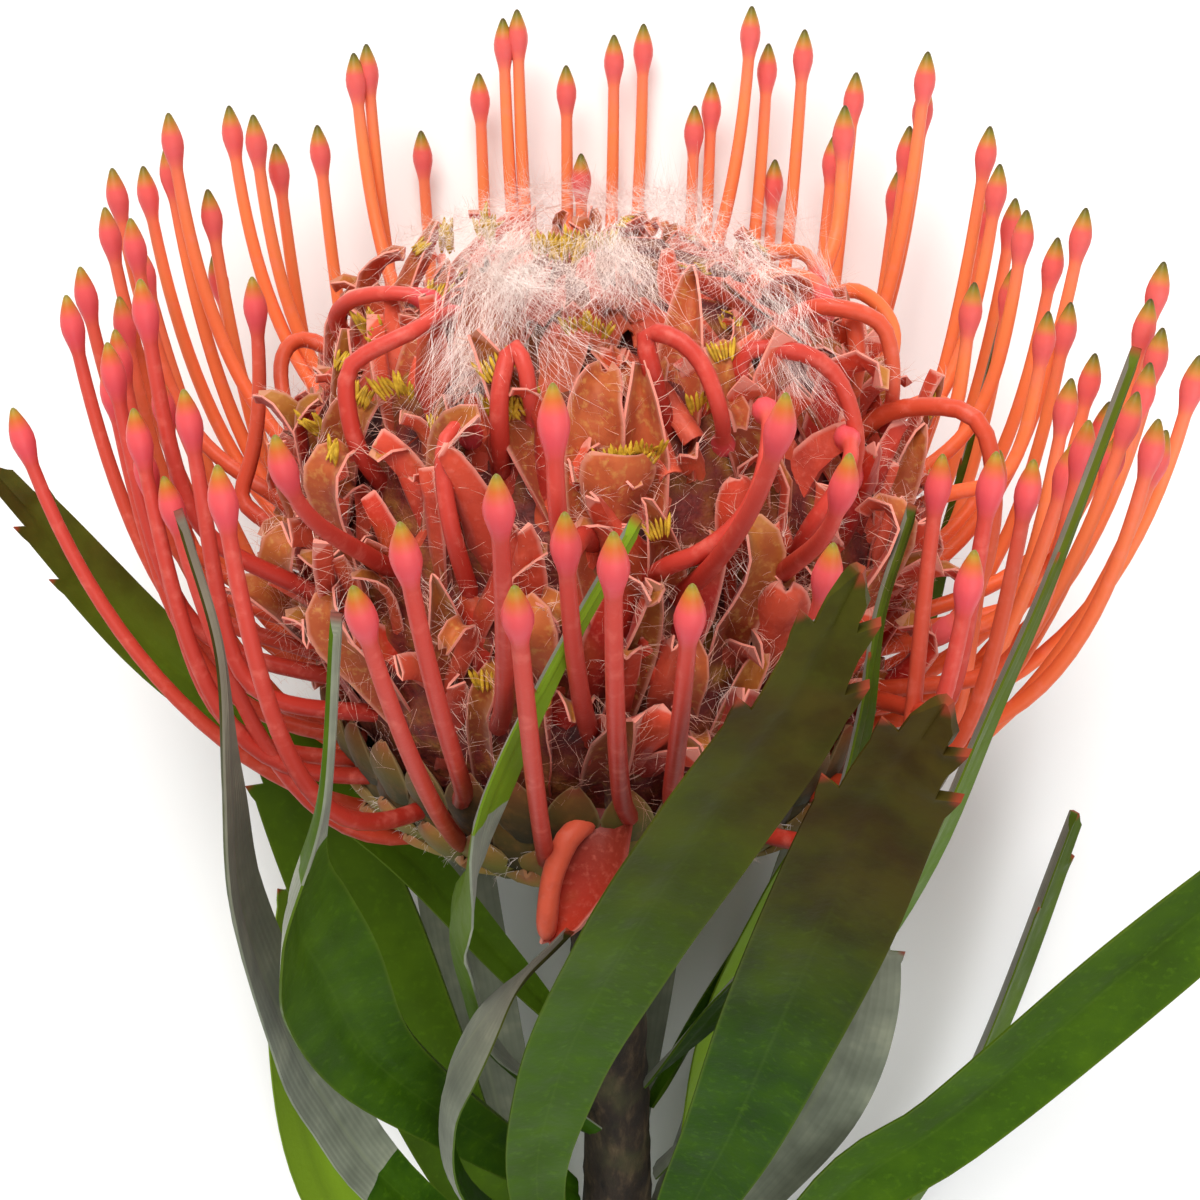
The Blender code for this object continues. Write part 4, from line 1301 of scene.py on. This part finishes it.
def make_florets(petal_mats, pink_hair, dice):
    """The perianths: each floret shows straps from outside and one, behind them, from inside."""
    hair = one_hair(*HAIRS["perianth"])
    straps, fringes, tips = {}, {}, {}
    for which in [(kind, version) for kind in STRAPS for version in range(len(STRAP_VERSIONS))]:
        sheet = strap_sheet(*which, petal_mats)
        margins = margins_of(sheet, STRAP_COLUMNS)
        fringes[which] = fringe(margins, hair, dice, STRAP_FRINGE)
        tips[which] = (margins[-3][0] + margins[-3][1]) / 2
        straps[which] = thicken(sheet, "strap", STRAP_WALL)
        throw_away(sheet)
    strap_rings = [[] for _ in FLORET_RING_NAMES]
    hair_rings = [[] for _ in FLORET_RING_NAMES]
    anther_places = []

    def add_strap(which, height, matrix):
        ring = min(int((height - FLORETS_FROM) / FLORET_RING_HEIGHT), len(FLORET_RING_NAMES) - 1)
        strap = placed(straps[which], "strap", matrix)
        # Painted light: straps higher up the head are painted paler, over their own random tone.
        paler = max(0.0, (height - PAINTED_LIGHT_FROM) / PAINTED_LIGHT_OVER)
        shade = min(1.0, dice.random() * 0.75 + paler)
        if which[0] == "cup":
            shade = 1.0
            for face in strap.data.polygons:
                face.material_index = 1
        mark(strap, "shade", lambda place: shade)
        strap_rings[ring].append(strap)
        hair_rings[ring].append((fringes[which], matrix))

    for azimuth, radius, height, slope in head_walk(FLORETS_FROM, FLORETS_TO, FLORETS):
        crown = max(0.0, (height - CROWN_FROM) / CROWN_OVER)
        side = dice.choice((-1, 1))
        group = [
            (dice.choice(("shell", "spear", "hood", "fold", "shell")), 0.0, False),
            (dice.choice(("claw", "spear", "fold")), side * SECOND_STRAP, False),
            (dice.choice(("hood", "spear", "claw")), side * dice.uniform(-2.6, -1.0), True),
        ]
        if dice.random() < THIRD_STRAP_CHANCE:
            group.append((dice.choice(("claw", "spear", "claw")), -side * THIRD_STRAP, False))
        floret_yaw = dice.gauss(0, 0.2 + 0.5 * crown)
        for kind, aside, inside_out in group:
            which = (kind, dice.randrange(len(STRAP_VERSIONS)))
            size = dice.uniform(0.8, 1.12) * (1 - 0.25 * crown)
            matrix = head_matrix(
                azimuth, radius, height, slope,
                yaw=floret_yaw + dice.gauss(0, 0.16) - 0.03 * aside,
                lean=((dice.uniform(10, 18) if inside_out else dice.uniform(20, 34))
                      * (1 - 0.7 * crown)),
                roll=dice.gauss(0, 0.25) - 0.14 * aside + (math.pi if inside_out else 0),
                reach=dice.uniform(7, 10) if inside_out else dice.uniform(9, 13),
                sink=(dice.uniform(2.6, 3.8) if inside_out else dice.uniform(0.9, 2.3))
                + 0.9 * crown,
                aside=aside, size=size)
            add_strap(which, height, matrix)
            if inside_out and dice.random() < 0.25 + 0.35 * crown:
                anther_places.append(matrix @ turned_to(tips[which], 0, math.radians(-12), 0.0))
    for kind, version, azimuth, height, yaw, lean, size in OUTSTANDING_STRAPS:
        cup = kind == "cup"
        length = sum(step for step, _, _ in STRAPS[kind][2]) * size
        matrix = on_head(azimuth, height, 0, 4, yaw=math.radians(yaw), lean=lean,
                         reach=length * 0.94, sink=-3.3 if cup else 0.3, size=size)
        add_strap((kind, version), height, matrix)
        if cup:
            anther_places += [matrix @ turned_to(tips[kind, version] + Vector((0.2, aside, -0.4)),
                                                 0.2 * aside, math.radians(-50), 0.0, 1.2)
                              for aside in CUP_ANTHERS]
    for name, ring_straps, ring_hairs in zip(FLORET_RING_NAMES, strap_rings, hair_rings):
        finish_piece(join(ring_straps, f"{name}_perianths"), "floret", "floret_head")
        finish_piece(strewn(f"{name}_perianth_hairs", ring_hairs, pink_hair), "wool")
    throw_away(hair, *straps.values(), *fringes.values())
    return anther_places


def make_anthers(places, material, dice):
    """Anthers: small combs of pollen-covered lobes at the ends of the rolled straps."""
    bpy.ops.mesh.primitive_uv_sphere_add(segments=8, ring_count=6, radius=0.5 * MM)
    lobe = named(bpy.context.object, "lobe")
    start_edit(lobe)
    resize(2.2, 0.36, 0.36, (0, 0, 0))
    end_edit()
    smooth(lobe)
    comb = strewn("comb", [(lobe, turned_to((0, aside, 0), 0.3 * aside, dice.uniform(0.2, 0.9),
                                            0, dice.uniform(0.7, 1.15))) for aside in LOBES])
    finish_piece(strewn("anthers", [(comb, place) for place in places], material), "anther")
    throw_away(lobe, comb)


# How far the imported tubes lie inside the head's outside: all round, and above a height.
TUBES_SUNK, TOP_SUNK, TOP_FROM = 3.0, 2.4, 50
TUBE_RINGS, TUBE_SIDES = 40, 72


def make_tubes(material):
    """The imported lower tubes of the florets, which close the head behind the straps."""
    rows = [(h - TOP_SUNK if h >= TOP_FROM else h, max(r - TUBES_SUNK, 0.3))
            for r, h in HEAD_OUTSIDE]
    heights = evenly(rows[0][0], rows[-1][0], TUBE_RINGS)
    tubes = turned("packed_perianth_tubes", [(0, h, between(rows, h, 1)) for h in heights],
                   TUBE_SIDES)
    tubes.data.materials.append(material)
    crumple(tubes, "tubes", 3.0, 2.2)
    tubes.data.transform(FLOWER)
    smooth(tubes)
    finish_piece(tubes, "floret")


# A floret that has bent over below the head: points down its tube and down its broad strap.
DROOPING_TUBE = ((-0.5, -25.5, 11), (-2.6, -27.6, 10.4), (-4.0, -28.8, 7.3), (-4.5, -29, 3.6),
                 (-4.6, -28.4, 0.6))
DROOPING_STRAP = ((0.6, -25.2, 11.6), (0.2, -27.4, 9.6), (-1.2, -28.2, 6.4), (-2.8, -28.4, 3.4),
                  (-3.8, -28.2, 1.2))
# Its tube's width, as (share of the length, radius).
DROOPING_PROFILE = ((0.15, 1.15), (0.35, 1.1), (0.55, 0.95), (0.72, 0.98), (0.86, 1.0),
                    (0.94, 0.84), (0.98, 0.52), (1.0, 0.2))
DROOPING_RADIUS, DROOPING_SIDES = 1.05, 12
# Its strap: width, hollow, wall, and steps as (length, share of the width).
DROOPING_SHEET = (5.0, -1.0, 0.3, ((1.5, 1.0), (2.2, 1.0), (2.2, 0.95), (2.2, 0.8), (2.0, 0.6),
                                   (1.8, 0.4), (1.2, 0.25), (0.6, 0.12)))
DROOPING_COLUMNS = 6
DROOPING_STEPS = 24


def make_drooping_floret(materials):
    """A floret that hangs below the head: a soft round-ended tube and a broad folded strap."""
    route = smooth_route(DROOPING_TUBE, DROOPING_STEPS)
    length = chain_length(route) / MM
    tube = drawn_along("drooping_tube", DROOPING_SIDES, DROOPING_RADIUS,
                       [(share * length, radius) for share, radius in DROOPING_PROFILE])
    apply_modifier(tube, "SUBSURF", levels=1)
    mark(tube, "along", lambda place: 0.6 + 0.4 * place.x / length)
    mark(tube, "shade", lambda place: 1.0)
    for material in materials:
        tube.data.materials.append(material)
    bend_along(tube, route)
    smooth(tube, 80)

    route = smooth_route(DROOPING_STRAP, DROOPING_STEPS)
    width, hollow, wall, steps = DROOPING_SHEET
    stations = [(step, share, 0) for step, share in steps]
    sheet = petal("drooping_strap", width, stations, DROOPING_COLUMNS, hollow, materials)
    crumple(sheet, "creases", 2.4, 1.2)
    strap = thicken(sheet, "drooping_strap", wall)
    mark(strap, "shade", lambda place: 0.35)
    bend_along(strap, route, [20.0] * len(route))
    throw_away(sheet)
    finish_piece(join([tube, strap], "drooping_floret"), "floret")


# The lobes of an anther: how far to the side each lies.
LOBES = (-1.1, -0.75, -0.4, 0.0, 0.35, 0.75, 1.05)
# Rows of open anthers on the head: azimuth and height of their middle, and how many combs.
ANTHER_ROWS = (
    (267.1, 51.9, 2), (289, 46.6, 1), (276.5, 43.8, 2), (206, 41, 2), (254, 46.2, 2),
    (228, 46.5, 2), (209, 49.5, 3), (260, 56.0, 3), (251, 55.6, 2), (188, 54.6, 3),
    (200, 55.9, 3),
)


def anther_rows(dice):
    """Places for the open anthers that stand in rows on the uppermost florets."""
    return [on_head(azimuth, height, 0.3, 0.3, yaw=dice.gauss(0, 0.3), lean=40, sink=-1.0,
                    aside=(number - (count - 1) / 2) * 2.0, size=dice.uniform(0.9, 1.2))
            for azimuth, height, count in ANTHER_ROWS for number in range(count)]


# ---- Wool, down and bracts ----

# The wool is combed down the head, and above this height towards the uppermost azimuth.
UPPERMOST = 270
COMBED_FROM, COMBED_OVER = 42, 12
# Streams of white wool on the head: azimuth, height, how many tufts, spread in millimetres.
WOOL_PATCHES = (
    (228, 55.2, 2, 1.0), (237, 55.2, 4, 0.9), (240, 53.6, 4, 0.9), (242, 51.2, 3, 0.8),
    (242.5, 48.8, 2, 0.7), (249, 53.4, 4, 0.8), (250.5, 54.6, 3, 0.8), (256.5, 51.4, 1, 0.7),
    (271.5, 53.8, 2, 0.8), (274, 55, 4, 0.8), (276, 54.2, 3, 0.8), (199, 55, 2, 1.4),
    (322, 54.6, 3, 1.2), (317, 53.4, 3, 1.2), (310, 49.6, 2, 0.9), (313, 48.4, 1, 1.0),
    (160, 53, 2, 1.6),
    (100, 54, 2, 1.6), (60, 51, 2, 1.6), (20, 53, 2, 1.6), (45, 56.3, 2, 1.2),
    (135, 56.2, 2, 1.2), (345, 56.4, 1, 1.2), (290, 56.8, 1, 1.0),
)


def make_wool(material, dice):
    """White wool in streams, combed towards the uppermost side and down the head."""
    hair = one_hair(*HAIRS["wool"])
    tufts = tufts_of(hair, *WOOL_TUFT, dice)
    copies = []
    for azimuth, height, count, spread in WOOL_PATCHES:
        for _ in range(count):
            h = min(height + dice.gauss(0, spread) * 0.5, HAIRS_TO)
            around = azimuth + math.degrees(dice.gauss(0, spread) / head_radius_at(h))
            down = 180 + (UPPERMOST - azimuth) * clamped((h - COMBED_FROM) / COMBED_OVER)
            matrix = on_head(around, h, 0.2, 0.2, yaw=math.radians(down + dice.gauss(0, 9)),
                             lean=dice.uniform(-4, 10), sink=-dice.uniform(1.0, 2.6),
                             size=dice.uniform(0.75, 1.1))
            copies.append((dice.choice(tufts), matrix))
    finish_piece(strewn("white_wool", copies, material), "wool")
    throw_away(hair, *tufts)


def make_down(material, dice):
    """Fine silky down over the whole head, in small tufts that lie every way."""
    hair = one_hair(*HAIRS["down"])
    tufts = tufts_of(hair, *DOWN_TUFT, dice)
    copies = []
    for place in head_walk(FLORETS_FROM, HAIRS_TO, DOWN_TUFTS):
        matrix = head_matrix(*place, yaw=dice.uniform(-3.1, 3.1), lean=dice.uniform(0, 25),
                             sink=-dice.uniform(-0.6, 1.4), size=dice.uniform(0.7, 1.1))
        copies.append((dice.choice(tufts), matrix))
    finish_piece(strewn("silky_down", copies, material), "wool")
    throw_away(hair, *tufts)


# Rings of bracts under the head: radius and height of their middles, how many, and length.
BRACT_RINGS = (
    (6.2, -7.6, 8, 8), (9.2, -5.6, 11, 9), (13.0, -3.4, 14, 10), (17.6, -1.6, 18, 10),
    (22.0, 0.4, 24, 10), (25.2, 3.8, 30, 8.5), (26.6, 8.0, 34, 7.5), (27.8, 11.4, 36, 7),
)
# One bract: width, hollow, and stations as (step, share of the width, curl).
BRACT = (7.0, 0.8, ((1.5, 0.8, 0), (1.5, 0.95, -3), (1.8, 1.0, -4), (1.8, 0.84, -5),
                    (1.5, 0.6, -6), (1.1, 0.34, -6), (0.8, 0.12, -6)))
BRACT_COLUMNS = 4
BRACT_WALL = 0.35
# Where the bracts start, near the stem, as (radius, height), and how high their down goes up.
BRACTS_START = (3.5, -9.5)
DOWNY_UP_TO = 5


def make_bracts(material, white_hair, dice):
    """Overlapping downy bracts that cup the underside of the head."""
    width, hollow, stations = BRACT
    hair = one_hair(*HAIRS["bract"])
    sheet = petal("bract_sheet", width, stations, BRACT_COLUMNS, hollow, (material,))
    down = fringe(margins_of(sheet, BRACT_COLUMNS), hair, dice, BRACT_FRINGE)
    bract = thicken(sheet, "bract", BRACT_WALL)
    bracts, downs = [], []
    previous = Vector(BRACTS_START)
    for number, (radius, height, count, length) in enumerate(BRACT_RINGS):
        slope = (Vector((radius, height)) - previous).normalized()
        for index in range(count):
            azimuth = 2 * math.pi * (index + 0.5 * (number % 2)) / count
            matrix = head_matrix(azimuth, radius, height, slope, yaw=dice.gauss(0, 0.07),
                                 lean=dice.uniform(2, 7), reach=length * 0.5, sink=0.3,
                                 size=length / 10 * dice.uniform(0.95, 1.05))
            bracts.append(placed(bract, "bract", matrix))
            # Painted shade: rows higher than 1 mm, under the head, take the dark colour, fully
            # from 7 mm up, each bract by a random share.
            shade = clamped((height - 1.0) / 6.0) * dice.uniform(0.6, 1.0)
            mark(bracts[-1], "upper_row", lambda place: shade)
            if height < DOWNY_UP_TO:
                downs.append((down, matrix))
        previous = Vector((radius, height))
    finish_piece(join(bracts, "overlapping_bracts"), "bract", "involucre")
    finish_piece(strewn("bract_hairs", downs, white_hair), "wool")
    throw_away(hair, sheet, bract, down)


# ---- Studio ----

CAMERA_TARGET = (0, 0, 20)
CAMERA_RAISED = math.radians(24)
CAMERA_DISTANCE = 165.0
CAMERA_LENS = 51.0


def make_camera():
    toward = Vector((0, -math.cos(CAMERA_RAISED), math.sin(CAMERA_RAISED)))
    upward = Vector((0, math.sin(CAMERA_RAISED), math.cos(CAMERA_RAISED)))
    turn = FLOWER.to_3x3()
    back = turn @ toward
    top = turn @ upward
    lens = bpy.data.cameras.new("camera")
    lens.lens = CAMERA_LENS
    lens.clip_start = 0.01
    camera = bpy.data.objects.new("camera", lens)
    bpy.context.scene.collection.objects.link(camera)
    place = in_flower(Vector(CAMERA_TARGET) + toward * CAMERA_DISTANCE)
    camera.matrix_world = (Matrix.Translation(place)
                           @ Matrix((top.cross(back), top, back)).transposed().to_4x4())
    bpy.context.scene.camera = camera


def make_light(name, place, target, size, watts, colour):
    lamp = bpy.data.lights.new(name, "AREA")
    lamp.shape = "SQUARE"
    lamp.size = size
    lamp.energy = watts
    lamp.color = linear(colour)[:3]
    light = bpy.data.objects.new(name, lamp)
    light.location = place
    light.rotation_euler = (Vector(target) - Vector(place)).to_track_quat("-Z", "Y").to_euler()
    bpy.context.scene.collection.objects.link(light)


def make_studio():
    bpy.ops.mesh.primitive_plane_add(size=3)
    floor = named(bpy.context.object, "floor")
    floor.data.materials.append(floor_material())
    world = bpy.data.worlds.new("studio")
    world.use_nodes = True
    world.node_tree.nodes["Background"].inputs["Color"].default_value = linear("#FFFFFF")
    world.node_tree.nodes["Background"].inputs["Strength"].default_value = 0.5
    bpy.context.scene.world = world
    bpy.context.scene.view_settings.view_transform = "Standard"
    head = in_flower((0, 0, 30))
    make_light("key", (-0.12, 0.55, 0.55), head, 0.5, 6.4, "#FFFDF8")
    make_light("fill", (0.25, -0.25, 0.6), head, 0.6, 2.4, "#F8FBFF")
    make_camera()


# ---- The flower ----

def main():
    dice = random.Random(11)
    petal_mats = petal_materials()
    white_hair, pink_hair = hair_materials()
    make_styles(style_material())
    make_leaves(leaf_materials())
    make_stem(bark_material(), cut_wood_material())
    make_tubes(tube_material())
    anther_places = make_florets(petal_mats, pink_hair, dice)
    make_anthers(anther_places + anther_rows(dice), anther_material(), dice)
    make_drooping_floret(petal_mats)
    make_wool(white_hair, dice)
    make_down(pink_hair, dice)
    make_bracts(bract_material(), white_hair, dice)
    make_studio()


main()
